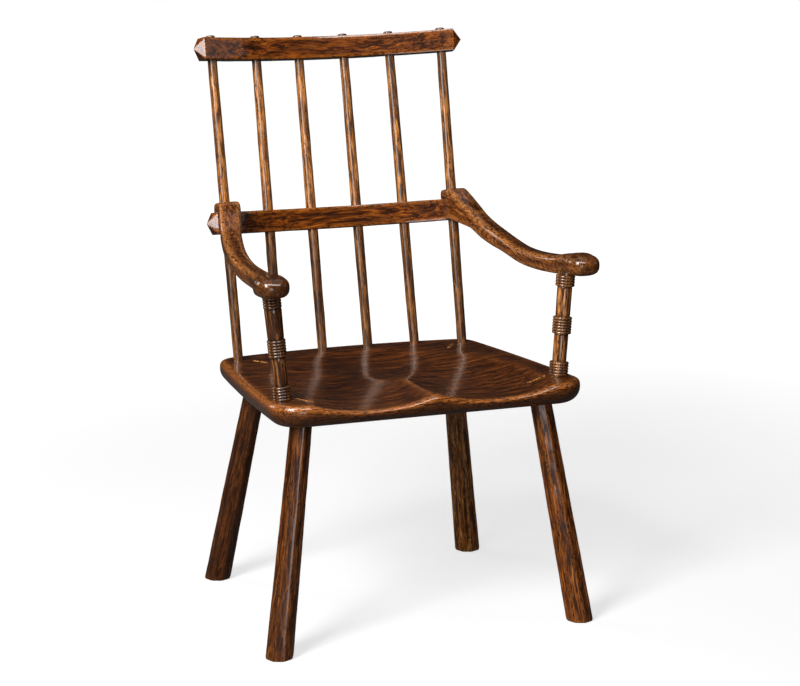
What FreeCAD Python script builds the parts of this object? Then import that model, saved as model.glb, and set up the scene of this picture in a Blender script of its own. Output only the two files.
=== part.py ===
import FreeCAD, Part
import math
import os

import Sketcher

from FreeCAD import Placement, Rotation, Vector

# A comb-back stick armchair, all of wood, standing on the floor at height zero.
# It faces -Y. Left and right are the sitter's, so the left side is at +X.
# Lengths are in millimetres and angles in degrees.

SIZES = (
    # Seat: one thick plank with rounded edges, falling a little to the back
    ("seat_height", 458.0),
    ("seat_slope", 2.1),
    ("seat_thickness", 42.0),
    ("seat_front_width", 600.0),
    ("seat_back_width", 522.0),
    ("seat_side_depth", 491.0),
    ("seat_front_edge", 320.5),
    ("seat_side_bow", 6.0),
    ("seat_back_bow", 26.0),
    ("front_corner_round", 58.0),
    ("rear_corner_round", 46.0),
    ("top_edge_round", 12.0),
    ("under_edge_round", 27.0),
    # Saddle: two leg hollows side by side and a shallow dish behind them
    ("hollow_spread", 118.0),
    ("hollow_depth", 17.0),
    ("hollow_inset", 190.0),
    ("hollow_across", 165.0),
    ("hollow_along", 370.0),
    ("hollow_curve", 55.0),
    ("hollow_tilt", 2.5),
    ("dish_depth", 13.0),
    ("dish_inset", 312.0),
    ("dish_across", 260.0),
    ("dish_along", 230.0),
    ("dish_curve", 60.0),
    # Legs: eight-sided, thicker at the foot, with round wedged tenons
    ("front_foot_spread", 294.0),
    ("front_foot_reach", 300.5),
    ("front_socket_spread", 225.0),
    ("front_socket_reach", 241.0),
    ("rear_foot_spread", 265.0),
    ("rear_foot_reach", 176.5),
    ("rear_socket_spread", 195.0),
    ("rear_socket_reach", 102.5),
    ("foot_width", 49.0),
    ("leg_top_width", 39.0),
    ("foot_chamfer", 3.0),
    ("leg_tenon", 36.0),
    ("leg_wedge_thickness", 6.0),
    ("leg_wedge_tip", 1.5),
    ("leg_wedge_depth", 30.0),
    ("front_wedge_turn", 8.0),
    ("rear_wedge_turn", 58.0),
    # Spindles: six round sticks from the seat through both rails
    ("inner_foot_spread", 47.0),
    ("middle_foot_spread", 140.0),
    ("outer_foot_spread", 230.5),
    ("foot_arc_reach", 171.0),
    ("foot_arc_bow", 41.0),
    ("inner_tip_spread", 46.5),
    ("middle_tip_spread", 137.5),
    ("outer_tip_spread", 235.5),
    ("spindle_foot_diameter", 18.0),
    ("spindle_middle_diameter", 19.6),
    ("spindle_top_diameter", 17.6),
    ("spindle_socket", 26.0),
    ("tip_stand", 4.5),
    ("tip_chamfer", 1.5),
    ("spindle_wedge_thickness", 2.6),
    ("spindle_wedge_tip", 1.0),
    ("spindle_wedge_depth", 22.0),
    # Rails: two curved bars square to the leaning spindles, with pointed ends
    ("rail_lean", 12.6),
    ("crest_height", 1014.5),
    ("crest_reach", 308.5),
    ("crest_bow", 44.0),
    ("crest_face", 43.0),
    ("crest_depth", 30.0),
    ("crest_half_length", 257.0),
    ("middle_rail_height", 691.0),
    ("middle_rail_face", 42.0),
    ("middle_rail_depth", 28.0),
    ("middle_rail_half_length", 259.0),
    ("rail_point", 17.0),
    ("rail_edge_round", 2.5),
    # Arms: sawn to a double curve, lapped over the middle rail at the back.
    # The knob stands above the seat, and the curve above or below the knob.
    ("arm_root_width", 42.0),
    ("arm_root_thickness", 31.5),
    ("arm_middle_width", 36.5),
    ("arm_middle_thickness", 29.5),
    ("arm_front_width", 39.0),
    ("arm_front_thickness", 35.0),
    ("arm_edge_round", 11.0),
    ("arm_start_forward", 15.0),
    ("arm_start_rise", 35.5),
    ("arm_shoulder_spread", 249.0),
    ("arm_shoulder_reach", 112.5),
    ("arm_shoulder_lift", 21.5),
    ("arm_slope_spread", 266.5),
    ("arm_slope_reach", 29.0),
    ("arm_slope_lift", 1.0),
    ("arm_bow_spread", 272.0),
    ("arm_bow_reach", -66.0),
    ("arm_bow_drop", 19.0),
    ("arm_grip_spread", 271.0),
    ("arm_grip_reach", -170.0),
    ("arm_grip_drop", 14.5),
    ("arm_end_drop", 4.0),
    ("knob_spread", 295.0),
    ("knob_reach", -280.0),
    ("knob_rise", 210.5),
    ("knob_width", 60.5),
    ("knob_length", 64.0),
    ("knob_thickness", 39.0),
    ("lap_width", 43.5),
    ("lap_front", 16.0),
    ("lap_rise", 18.5),
    ("lap_foot", 0.5),
    ("lap_back_round", 14.0),
    ("lap_top_round", 5.0),
    # Arm posts: turned, with three groups of beads
    ("post_spread", 266.5),
    ("post_reach", 247.5),
    ("post_top_reach", 238.0),
    ("post_top_inset", 2.7),
    ("post_bead_diameter", 34.6),
    ("post_upper_diameter", 29.8),
    ("post_waist_diameter", 25.6),
    ("post_tenon", 20.0),
    ("post_socket", 26.0),
    ("post_arm_socket", 20.0),
    ("post_neck", 6.0),
    ("bead_pitch", 5.2),
    ("middle_bead_start", 78.0),
    ("lower_beads", 5),
    ("middle_beads", 6),
    ("upper_beads", 4),
    # Room between a stick and its hole, and between the lap and the rail
    ("joint_clearance", 0.1),
)

OCTAGON_SIDES = 8
ARM_SECTIONS = 12
ARM_SPLINE_DEGREE = 3
ARM_ROOT_SHARE = 0.4
ARM_FRONT_SHARE = 0.4
BEAD_ROOM = 15.0
BIG = 900.0
MARGIN = 5.0
UP = Vector(0, 0, 1)
SIDE = Vector(1, 0, 0)

document = FreeCAD.newDocument("armchair")
sheet = document.addObject("Spreadsheet::Sheet", "sizes")
for row, (alias, value) in enumerate(SIZES, 1):
    sheet.set(f"A{row}", alias)
    sheet.set(f"B{row}", str(value))
    sheet.setAlias(f"B{row}", alias)
document.recompute()

pieces = []


def size(alias):
    return float(sheet.get(alias))


def bind(item, **expressions):
    """Tie properties of an object to cells of the sheet."""
    for name, expression in expressions.items():
        item.setExpression(name, expression)


def piece(item, label):
    """Give a finished sub-part its name and put it on the list to write."""
    item.Label = label
    pieces.append(item)
    return item


def add(kind, name):
    return document.addObject(kind, name)


def cut(name, base, *tools):
    """The base with every tool taken away, one after the other."""
    result = base
    for number, tool in enumerate(tools, 1):
        step = add("Part::Cut", f"{name}_cut_{number}")
        step.Base = result
        step.Tool = tool
        result = step
    return result


def fuse(name, *parts):
    joined = add("Part::MultiFuse", name)
    joined.Shapes = list(parts)
    joined.Refine = True
    return joined


def common(name, first, second):
    shared = add("Part::Common", name)
    shared.Base = first
    shared.Tool = second
    return shared


def mirrored(name, source):
    """The same piece on the other side of the chair's middle plane."""
    twin = add("Part::Mirroring", name)
    twin.Source = source
    twin.Base = Vector(0, 0, 0)
    twin.Normal = SIDE
    return twin


def along(origin, direction):
    """A placement whose Z axis runs along the direction."""
    return Placement(origin, Rotation(UP, direction))


def cylinder(name, origin, direction, length, radius):
    """A round bar from origin along direction; radius is an expression."""
    bar = add("Part::Cylinder", name)
    bar.Height = length
    bar.Placement = along(origin, direction)
    bind(bar, Radius=radius)
    return bar


def box(name, placement, low, high):
    """A block between two corners given in the placement's own axes."""
    block = add("Part::Box", name)
    block.Length = high.x - low.x
    block.Width = high.y - low.y
    block.Height = high.z - low.z
    block.Placement = placement.multiply(Placement(low, Rotation()))
    return block


def origin_plane(body, role):
    for feature in body.Origin.OriginFeatures:
        if feature.Role == role:
            return feature
    raise ValueError(role)


def body_sketch(body, name, role):
    sketch = body.newObject("Sketcher::SketchObject", name)
    sketch.AttachmentSupport = [(origin_plane(body, role), "")]
    sketch.MapMode = "FlatFace"
    return sketch


def outline(points):
    """Straight edges through the points and back to the first."""
    return [Part.LineSegment(a, b) for a, b in zip(points, points[1:] + points[:1])]


def join_ends(sketch, count):
    """Each edge of the closed outline starts where the last one ended."""
    for edge in range(count):
        sketch.addConstraint(Sketcher.Constraint("Coincident", edge, 2, (edge + 1) % count, 1))


def edges_where(shape, test):
    return [f"Edge{number}" for number, edge in enumerate(shape.Edges, 1) if test(edge)]


def body_fillet(body, name, base, test, radius):
    rounding = body.newObject("PartDesign::Fillet", name)
    rounding.Base = (base, edges_where(base.Shape, test))
    bind(rounding, Radius=radius)
    document.recompute()
    return rounding


# Frames and curves that several pieces share

seat_normal_turn = Rotation(SIDE, -size("seat_slope"))
seat_origin = Vector(0, -size("post_reach"), size("seat_height"))
seat_frame = Placement(seat_origin, seat_normal_turn)
seat_normal = seat_normal_turn.multVec(UP)
lean = math.radians(size("rail_lean"))
rail_back = Vector(0, math.cos(lean), -math.sin(lean))
rail_up = Vector(0, math.sin(lean), math.cos(lean))
rail_turn = Rotation(SIDE, -size("rail_lean"))
crest_origin = Vector(0, size("crest_reach"), size("crest_height"))
clearance = size("joint_clearance")


def seat_top(y):
    """Height of the flat part of the seat's top at a distance y."""
    return size("seat_height") - math.tan(math.radians(size("seat_slope"))) * (y - seat_origin.y)


def arc_radius(half, bow):
    return (half * half + bow * bow) / (2 * bow)


def arc_drop(x, half, bow):
    """How far an arc that drops by bow at half has dropped at x."""
    radius = arc_radius(half, bow)
    return radius - math.sqrt(radius * radius - x * x)


def meets_plane(start, direction, origin, normal):
    return start + direction * ((origin - start).dot(normal) / direction.dot(normal))


def unit(vector):
    return Vector(vector).normalize()


spindle_foot_points = {}
spindle_directions = {}
crest_bow = size("crest_bow") / math.cos(lean)
for stick in ("inner", "middle", "outer"):
    foot_x = size(f"{stick}_foot_spread")
    foot_drop = arc_drop(foot_x, size("outer_foot_spread"), size("foot_arc_bow"))
    foot_y = size("foot_arc_reach") - foot_drop
    tip_x = size(f"{stick}_tip_spread")
    tip_drop = arc_drop(tip_x, size("outer_tip_spread"), crest_bow)
    spindle_foot_points[stick] = Vector(foot_x, foot_y, seat_top(foot_y))
    crossing = crest_origin + SIDE * tip_x - rail_back * tip_drop
    spindle_directions[stick] = unit(crossing - spindle_foot_points[stick])

centre_foot = Vector(0, size("foot_arc_reach"), seat_top(size("foot_arc_reach")))
centre_rise = crest_origin - centre_foot
middle_share = (size("middle_rail_height") - centre_foot.z) / centre_rise.z
middle_origin = centre_foot + centre_rise * middle_share


def spindle_at(stick, origin):
    """Where a spindle's axis crosses the rail plane through origin."""
    return meets_plane(spindle_foot_points[stick], spindle_directions[stick], origin, rail_up)


def arc_through(stick_a, stick_b, origin):
    """Centre distance and radius of the rail arc through two spindles."""
    a = spindle_at(stick_a, origin) - origin
    b = spindle_at(stick_b, origin) - origin
    ya = a.dot(rail_back)
    yb = b.dot(rail_back)
    centre = (b.x * b.x + yb * yb - a.x * a.x - ya * ya) / (2 * (yb - ya))
    return centre, math.hypot(a.x, ya - centre)


# Seat: the plank, its rounded edges, its saddle and its sockets

seat_front = size("seat_front_edge") - size("post_reach")
seat_rear_corner = size("seat_side_depth") - seat_front


def bowed(start, end, bow, outward):
    middle = (start + end) * 0.5 + outward * bow
    return Part.Arc(start, middle, end)


def make_plank():
    body = add("PartDesign::Body", "plank")
    sketch = body_sketch(body, "plank_outline", "XY_Plane")
    half_front = size("seat_front_width") / 2
    half_back = size("seat_back_width") / 2
    front_right = Vector(-half_front, -seat_front, 0)
    front_left = Vector(half_front, -seat_front, 0)
    rear_left = Vector(half_back, seat_rear_corner, 0)
    rear_right = Vector(-half_back, seat_rear_corner, 0)
    back = Vector(0, 1, 0)
    sketch.addGeometry(Part.LineSegment(front_right, front_left))
    sketch.addGeometry(bowed(front_left, rear_left, size("seat_side_bow"), SIDE))
    sketch.addGeometry(bowed(rear_left, rear_right, size("seat_back_bow"), back))
    sketch.addGeometry(bowed(rear_right, front_right, size("seat_side_bow"), -SIDE))
    rules = (
        ("Symmetric", 0, 1, 0, 2, -2),
        ("Symmetric", 1, 2, 3, 1, -2),
        ("DistanceX", 0, 1, 0, 2, 2 * half_front),
        ("DistanceX", 3, 1, 1, 2, 2 * half_back),
        ("DistanceY", 0, 1, -1, 1, seat_front),
        ("DistanceY", 0, 1, 3, 1, size("seat_side_depth")),
        ("Equal", 1, 3),
    )
    for geometry in ((0, 2, 1, 1), (1, 2, 2, 1), (2, 2, 3, 1), (3, 2, 0, 1)):
        sketch.addConstraint(Sketcher.Constraint("Coincident", *geometry))
    names = {2: "front_width", 3: "back_width", 4: "front_edge", 5: "side_depth"}
    for number, rule in enumerate(rules):
        index = sketch.addConstraint(Sketcher.Constraint(*rule))
        if number in names:
            sketch.renameConstraint(index, names[number])
    bind(
        sketch,
        **{
            "Constraints.front_width": "sizes.seat_front_width",
            "Constraints.back_width": "sizes.seat_back_width",
            "Constraints.front_edge": "sizes.seat_front_edge - sizes.post_reach",
            "Constraints.side_depth": "sizes.seat_side_depth",
        },
    )
    pad = body.newObject("PartDesign::Pad", "plank_pad")
    pad.Profile = sketch
    pad.Reversed = True
    bind(pad, Length="sizes.seat_thickness")
    document.recompute()

    def upright(edge):
        return edge.BoundBox.ZLength > size("seat_thickness") / 2

    def front_upright(edge):
        return upright(edge) and edge.CenterOfMass.y < 0

    def rear_upright(edge):
        return upright(edge) and edge.CenterOfMass.y > 0

    def on_top(edge):
        return edge.BoundBox.ZMin > -clearance

    def underneath(edge):
        return edge.BoundBox.ZMax < clearance - size("seat_thickness")

    step = body_fillet(body, "front_corners", pad, front_upright, "sizes.front_corner_round")
    step = body_fillet(body, "rear_corners", step, rear_upright, "sizes.rear_corner_round")
    step = body_fillet(body, "top_edge", step, on_top, "sizes.top_edge_round")
    body_fillet(body, "under_edge", step, underneath, "sizes.under_edge_round")
    body.Placement = seat_frame
    return body


def ellipsoid(name, placement, along_z, along_x, along_y):
    solid = add("Part::Ellipsoid", name)
    solid.Placement = placement
    bind(solid, Radius1=along_z, Radius2=along_x, Radius3=along_y)
    return solid


def hollow(name, x):
    centre = Vector(
        x,
        size("hollow_inset") - seat_front,
        size("hollow_curve") - size("hollow_depth"),
    )
    place = seat_frame.multiply(Placement(centre, Rotation(SIDE, size("hollow_tilt"))))
    return ellipsoid(
        name, place, "sizes.hollow_curve", "sizes.hollow_across", "sizes.hollow_along"
    )


def make_space_above():
    """Everything above the finished top of the seat."""
    room = box("room_above", seat_frame, Vector(-BIG, -BIG, 0), Vector(BIG, BIG, BIG / 2))
    dish_centre = Vector(
        0,
        size("dish_inset") - seat_front,
        size("dish_curve") - size("dish_depth"),
    )
    dish = ellipsoid(
        "dish",
        seat_frame.multiply(Placement(dish_centre, Rotation())),
        "sizes.dish_curve",
        "sizes.dish_across",
        "sizes.dish_along",
    )
    hollows = [hollow("hollow_left", size("hollow_spread"))]
    hollows.append(hollow("hollow_right", -size("hollow_spread")))
    space = fuse("space_above", room, dish, *hollows)
    space.Refine = False
    return space


plank = make_plank()
space_above = make_space_above()
seat_room = box(
    "seat_room",
    seat_frame,
    Vector(-BIG, -BIG, -size("seat_thickness")),
    Vector(BIG, BIG, BIG / 2),
)
floor_room = box("floor_room", Placement(), Vector(-BIG, -BIG, -BIG), Vector(BIG, BIG, 0))
seat_holes = []


def both_sides(name, item):
    """A hole or cutter and its twin on the other side."""
    return [item, mirrored(f"{name}_twin", item)]


# Legs and their wedges


def octagon(name, centre, direction, width):
    shape = add("Part::RegularPolygon", name)
    shape.Polygon = OCTAGON_SIDES
    shape.Circumradius = width / 2 / math.cos(math.pi / OCTAGON_SIDES)
    shape.Placement = along(centre, direction)
    return shape


def flat_sided(name, low, high):
    """A solid with flat faces between two octagons that face each other."""
    document.recompute()
    bottom, top = [[vertex.Point for vertex in end.Shape.OrderedVertexes] for end in (low, high)]
    outlines = [bottom, top]
    for number in range(OCTAGON_SIDES):
        after = (number + 1) % OCTAGON_SIDES
        outlines.append([bottom[number], bottom[after], top[after], top[number]])
    faces = [Part.Face(Part.makePolygon(outline + outline[:1])) for outline in outlines]
    solid = add("Part::Feature", name)
    solid.Shape = Part.Solid(Part.Shell(faces))
    return solid


def wedge_block(name, top, downward, across, width, thickness, tip, depth, lift):
    """A wedge that starts lift above top and thins towards its tip."""
    block = add("Part::Wedge", name)
    above = thickness + (thickness - tip) * lift / depth
    block.Ymin = -lift
    block.Ymax = depth
    block.Xmin = -above / 2
    block.Xmax = above / 2
    block.X2min = -tip / 2
    block.X2max = tip / 2
    block.Zmin = -width / 2
    block.Zmax = width / 2
    block.Z2min = -width / 2
    block.Z2max = width / 2
    span = unit(across - downward * across.dot(downward))
    block.Placement = Placement(top, Rotation(downward.cross(span), downward, span, "YZX"))
    return block


def make_leg(where, turn):
    """One left leg with its wedge, standing on the floor."""
    foot = Vector(size(f"{where}_foot_spread"), leg_reach(where, "foot"), 0)
    socket_y = leg_reach(where, "socket")
    socket = Vector(size(f"{where}_socket_spread"), socket_y, seat_top(socket_y))
    direction = unit(socket - foot)
    underside = seat_origin - seat_normal * size("seat_thickness")
    shoulder = (meets_plane(foot, direction, underside, seat_normal) - foot).Length
    grow = (size("leg_top_width") - size("foot_width")) / shoulder
    overrun = size("foot_width") / 2
    ends = []
    for name, place in (("low", -overrun), ("high", shoulder + overrun)):
        width = size("foot_width") + grow * place
        ends.append(octagon(f"{where}_{name}", foot + direction * place, direction, width))
    shaft = flat_sided(f"{where}_shaft", *ends)
    trimmed = cut(f"{where}_shaft", shaft, floor_room, seat_room)
    document.recompute()
    eased = add("Part::Chamfer", f"{where}_foot_edge")
    eased.Base = trimmed
    chamfer = size("foot_chamfer")
    eased.Edges = [
        (number, chamfer, chamfer)
        for number, edge in enumerate(trimmed.Shape.Edges, 1)
        if edge.BoundBox.ZMax < clearance
    ]
    start = foot + direction * (shoulder - MARGIN)
    length = (socket - start).Length + size("leg_tenon")
    peg = cylinder(f"{where}_peg", start, direction, length, "sizes.leg_tenon / 2")
    hole_start = foot + direction * (shoulder - overrun)
    hole_length = length + overrun
    hole_radius = "sizes.leg_tenon / 2 + sizes.joint_clearance"
    hole = cylinder(f"{where}_hole", hole_start, direction, hole_length, hole_radius)
    seat_holes.extend(both_sides(f"{where}_hole", hole))
    angle = math.radians(turn)
    split = wedge_block(
        f"{where}_split",
        socket,
        -direction,
        Vector(math.cos(angle), math.sin(angle), 0),
        2 * size("leg_tenon"),
        size("leg_wedge_thickness"),
        size("leg_wedge_tip"),
        size("leg_wedge_depth"),
        size("leg_tenon"),
    )
    tenon = cut(f"{where}_tenon", peg, space_above, split)
    leg = fuse(f"{where}_leg", eased, tenon)
    wedge = cut(f"{where}_wedge", common(f"{where}_wedge_blank", split, peg), space_above)
    piece(leg, f"leg_{where}_left")
    piece(mirrored(f"{where}_leg_twin", leg), f"leg_{where}_right")
    piece(wedge, f"leg_wedge_{where}_left")
    piece(mirrored(f"{where}_wedge_twin", wedge), f"leg_wedge_{where}_right")


def leg_reach(where, end):
    """Front legs reach forward and rear legs reach back."""
    forward = -1 if where == "front" else 1
    return forward * size(f"{where}_{end}_reach")


make_leg("front", size("front_wedge_turn"))
make_leg("rear", size("rear_wedge_turn"))


# Rails: an arc in the leaning plane, with a shallow four-sided point at each end

crest_arc_radius = arc_radius(size("outer_tip_spread"), crest_bow)
middle_centre, middle_radius = arc_through("inner", "outer", middle_origin)
RAILS = {
    "crest": (crest_origin, -crest_arc_radius, crest_arc_radius),
    "middle_rail": (middle_origin, middle_centre, middle_radius),
}


def rail_corner(radius, centre, half, offset):
    """An end corner of the rail, turned half way to square with the arc."""
    turn = math.asin(half / radius)
    x = half + offset * math.sin(turn) / 2
    return x, centre + math.sqrt((radius + offset) ** 2 - x * x)


def make_rail_bar(name, prefix, extra):
    """A rail before its holes are bored; extra makes it larger all round."""
    origin, centre, radius = RAILS[prefix]
    half = size(f"{prefix}_half_length")
    depth = size(f"{prefix}_depth") / 2 + extra
    face = size(f"{prefix}_face") / 2 + extra
    point = size("rail_point")
    front_x, front_y = rail_corner(radius, centre, half, -depth)
    back_x, back_y = rail_corner(radius, centre, half, depth)
    turn = math.asin(half / radius)
    tip_x = half + point * math.cos(turn / 2)
    tip_y = (front_y + back_y) / 2 - point * math.sin(turn / 2)
    body = add("PartDesign::Body", name)
    sketch = body_sketch(body, f"{name}_plan", "XY_Plane")
    points = {
        "back_left": Vector(back_x, back_y, 0),
        "back_right": Vector(-back_x, back_y, 0),
        "tip_right": Vector(-tip_x, tip_y, 0),
        "front_right": Vector(-front_x, front_y, 0),
        "front_left": Vector(front_x, front_y, 0),
        "tip_left": Vector(tip_x, tip_y, 0),
    }
    back_middle = Vector(0, centre + radius + depth, 0)
    front_middle = Vector(0, centre + radius - depth, 0)
    edges = [
        Part.Arc(points["back_left"], back_middle, points["back_right"]),
        Part.LineSegment(points["back_right"], points["tip_right"]),
        Part.LineSegment(points["tip_right"], points["front_right"]),
        Part.Arc(points["front_right"], front_middle, points["front_left"]),
        Part.LineSegment(points["front_left"], points["tip_left"]),
        Part.LineSegment(points["tip_left"], points["back_left"]),
    ]
    for edge in edges:
        sketch.addGeometry(edge)
    pad = body.newObject("PartDesign::Pad", f"{name}_pad")
    pad.Profile = sketch
    pad.SideType = "Symmetric"
    pad.Length = 2 * face
    document.recompute()

    def long_edge(edge):
        return edge.BoundBox.XLength > half and edge.BoundBox.ZLength < clearance

    body_fillet(body, f"{name}_edges", pad, long_edge, "sizes.rail_edge_round")
    body.Placement = Placement(origin, rail_turn)
    slopes = []
    for side in (1, -1):
        for level in (1, -1):
            corners = [
                Vector(side * half, 0, level * face),
                Vector(side * tip_x, 0, 0),
                Vector(side * (tip_x + MARGIN), 0, 0),
                Vector(side * (tip_x + MARGIN), 0, level * (face + MARGIN)),
                Vector(side * half, 0, level * (face + MARGIN)),
            ]
            slopes.append(end_slope(f"{name}_slope_{len(slopes)}", corners, body.Placement))
    return cut(name, body, *slopes)


def end_slope(name, corners, placement):
    """A cutter that takes a sloping slice off the top or foot of a rail end."""
    profile = add("Part::Polygon", f"{name}_profile")
    profile.Nodes = corners
    profile.Close = True
    profile.Placement = placement
    cutter = add("Part::Extrusion", name)
    cutter.Base = profile
    cutter.DirMode = "Custom"
    cutter.Dir = rail_back
    cutter.LengthFwd = BIG
    cutter.Solid = True
    cutter.Symmetric = True
    return cutter


# Spindles and the wedges in their tips

STICK_NAMES = {
    ("outer", 1): 1,
    ("middle", 1): 2,
    ("inner", 1): 3,
    ("inner", -1): 4,
    ("middle", -1): 5,
    ("outer", -1): 6,
}


def make_spindle(stick):
    """One spindle of the left half, and the hole that it needs."""
    foot = spindle_foot_points[stick]
    direction = spindle_directions[stick]
    swell = (spindle_at(stick, middle_origin) - foot).Length
    reach = (spindle_at(stick, crest_origin) - foot).Length
    shoulder = reach - size("crest_face") / 2
    tip = reach + size("crest_face") / 2 + size("tip_stand")
    foot_radius = size("spindle_foot_diameter") / 2
    swell_radius = size("spindle_middle_diameter") / 2
    top_radius = size("spindle_top_diameter") / 2
    chamfer = size("tip_chamfer")
    socket = size("spindle_socket")
    body = add("PartDesign::Body", f"spindle_{stick}")
    sketch = body_sketch(body, f"spindle_{stick}_profile", "XZ_Plane")
    points = [
        Vector(0, -socket, 0),
        Vector(foot_radius, -socket, 0),
        Vector(foot_radius, 0, 0),
        Vector(swell_radius, swell, 0),
        Vector(top_radius, shoulder, 0),
        Vector(top_radius, tip - chamfer, 0),
        Vector(top_radius - chamfer, tip, 0),
        Vector(0, tip, 0),
    ]
    for edge in outline(points):
        sketch.addGeometry(edge)
    join_ends(sketch, len(points))
    turning = body.newObject("PartDesign::Revolution", f"spindle_{stick}_turning")
    turning.Profile = sketch
    turning.ReferenceAxis = (sketch, ["V_Axis"])
    body.Placement = along(foot, direction)
    split = wedge_block(
        f"spindle_{stick}_split",
        foot + direction * tip,
        -direction,
        rail_back,
        2 * size("spindle_top_diameter"),
        size("spindle_wedge_thickness"),
        size("spindle_wedge_tip"),
        size("spindle_wedge_depth"),
        MARGIN,
    )
    stick_piece = cut(f"spindle_{stick}", body, split)
    wedge = common(f"spindle_wedge_{stick}", split, body)
    left = STICK_NAMES[(stick, 1)]
    right = STICK_NAMES[(stick, -1)]
    piece(stick_piece, f"spindle_{left}")
    piece(mirrored(f"spindle_{stick}_twin", stick_piece), f"spindle_{right}")
    piece(wedge, f"spindle_wedge_{left}")
    piece(mirrored(f"spindle_wedge_{stick}_twin", wedge), f"spindle_wedge_{right}")
    make_spindle_holes(stick, foot, direction, swell, reach)


rail_holes = {"crest": [], "middle_rail": []}
arm_holes = []


def make_spindle_holes(stick, foot, direction, swell, reach):
    """Sockets in the seat, through holes in the rails and in the arm's lap."""
    socket = size("spindle_socket")
    room = "sizes.joint_clearance"
    foot_hole = cylinder(
        f"foot_hole_{stick}",
        foot - direction * (socket + clearance),
        direction,
        socket + BIG / MARGIN,
        f"sizes.spindle_foot_diameter / 2 + {room}",
    )
    seat_holes.extend(both_sides(f"foot_hole_{stick}", foot_hole))
    crest_hole = cylinder(
        f"crest_hole_{stick}",
        foot + direction * (reach - size("crest_face")),
        direction,
        2 * size("crest_face"),
        f"sizes.spindle_top_diameter / 2 + {room}",
    )
    rail_holes["crest"].extend(both_sides(f"crest_hole_{stick}", crest_hole))
    half_lap = size("middle_rail_face") / 2 + size("lap_rise") + MARGIN
    lap_hole = cylinder(
        f"rail_hole_{stick}",
        foot + direction * (swell - half_lap),
        direction,
        2 * half_lap,
        f"sizes.spindle_middle_diameter / 2 + {room}",
    )
    rail_holes["middle_rail"].extend(both_sides(f"rail_hole_{stick}", lap_hole))
    if stick == "outer":
        arm_holes.append(lap_hole)


for stick in ("outer", "middle", "inner"):
    make_spindle(stick)

for prefix, label in (("crest", "crest_rail"), ("middle_rail", "middle_rail")):
    bar = make_rail_bar(f"{prefix}_bar", prefix, 0.0)
    bores = fuse(f"{prefix}_bores", *rail_holes[prefix])
    piece(cut(f"{prefix}_bored", bar, bores), label)


# Arms: a lofted double curve with a lap at the back and a knob in front


def arm_size(kind, share):
    """Expression for the arm's width or thickness at a share of its length."""
    root = max(0.0, 1 - share / ARM_ROOT_SHARE)
    front = max(0.0, 1 - (1 - share) / ARM_FRONT_SHARE)
    middle = 1 - root - front
    weights = (("root", root), ("middle", middle), ("front", front))
    return " + ".join(f"{weight:.4f} * sizes.arm_{place}_{kind}" for place, weight in weights)


def rounded_section(name, placement, share):
    """A rectangle with round corners, centred on its own origin."""
    width = size("arm_middle_width")
    height = size("arm_middle_thickness")
    round_off = size("arm_edge_round")
    sketch = add("Sketcher::SketchObject", name)
    x = width / 2 - round_off
    y = height / 2 - round_off
    corners = ((x, y, 0), (-x, y, 1), (-x, -y, 2), (x, -y, 3))
    for cx, cy, quarter in corners:
        circle = Part.Circle(Vector(cx, cy, 0), UP, round_off)
        start = quarter * math.pi / 2
        sketch.addGeometry(Part.ArcOfCircle(circle, start, start + math.pi / 2))
    for quarter in range(len(corners)):
        following = (quarter + 1) % len(corners)
        start = sketch.getPoint(quarter, 2)
        end = sketch.getPoint(following, 1)
        sketch.addGeometry(Part.LineSegment(start, end))
        side = len(corners) + quarter
        sketch.addConstraint(Sketcher.Constraint("Tangent", quarter, 2, side, 1))
        sketch.addConstraint(Sketcher.Constraint("Tangent", side, 2, following, 1))
    for following in range(1, len(corners)):
        sketch.addConstraint(Sketcher.Constraint("Equal", 0, following))
    sketch.addConstraint(Sketcher.Constraint("Horizontal", len(corners)))
    sketch.addConstraint(Sketcher.Constraint("Symmetric", 0, 3, 2, 3, -1, 1))
    radius = sketch.addConstraint(Sketcher.Constraint("Radius", 0, round_off))
    across = sketch.addConstraint(Sketcher.Constraint("DistanceX", 1, 3, 0, 3, 2 * x))
    upward = sketch.addConstraint(Sketcher.Constraint("DistanceY", 3, 3, 0, 3, 2 * y))
    sketch.renameConstraint(radius, "corner")
    sketch.renameConstraint(across, "across")
    sketch.renameConstraint(upward, "upward")
    bind(
        sketch,
        **{
            "Constraints.corner": "sizes.arm_edge_round",
            "Constraints.across": f"{arm_size('width', share)} - 2 * sizes.arm_edge_round",
            "Constraints.upward": f"{arm_size('thickness', share)} - 2 * sizes.arm_edge_round",
        },
    )
    sketch.Placement = placement
    return sketch


outer_crossing = spindle_at("outer", middle_origin)
arm_start = outer_crossing - rail_back * size("arm_start_forward")
arm_start = arm_start + rail_up * size("arm_start_rise")
knob_height = size("seat_height") + size("knob_rise")
knob_centre = Vector(size("knob_spread"), size("knob_reach"), knob_height)
arm_levels = (
    ("shoulder", size("arm_shoulder_lift")),
    ("slope", size("arm_slope_lift")),
    ("bow", -size("arm_bow_drop")),
    ("grip", -size("arm_grip_drop")),
)
arm_poles = [arm_start]
for place, lift in arm_levels:
    pole = Vector(size(f"arm_{place}_spread"), size(f"arm_{place}_reach"), knob_height + lift)
    arm_poles.append(pole)
arm_poles.append(knob_centre - UP * size("arm_end_drop"))
arm_curve = Part.BSplineCurve()
arm_curve.buildFromPoles(arm_poles, False, ARM_SPLINE_DEGREE)


def arm_frame(share):
    """Point and section axes at a share of the way along the arm."""
    first = arm_curve.FirstParameter
    last = arm_curve.LastParameter
    parameter = first + (last - first) * share
    centre = arm_curve.value(parameter)
    forward = unit(arm_curve.tangent(parameter)[0])
    across = unit(forward.cross(UP))
    return Placement(centre, Rotation(across, across.cross(forward) * -1, forward, "ZXY"))


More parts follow.
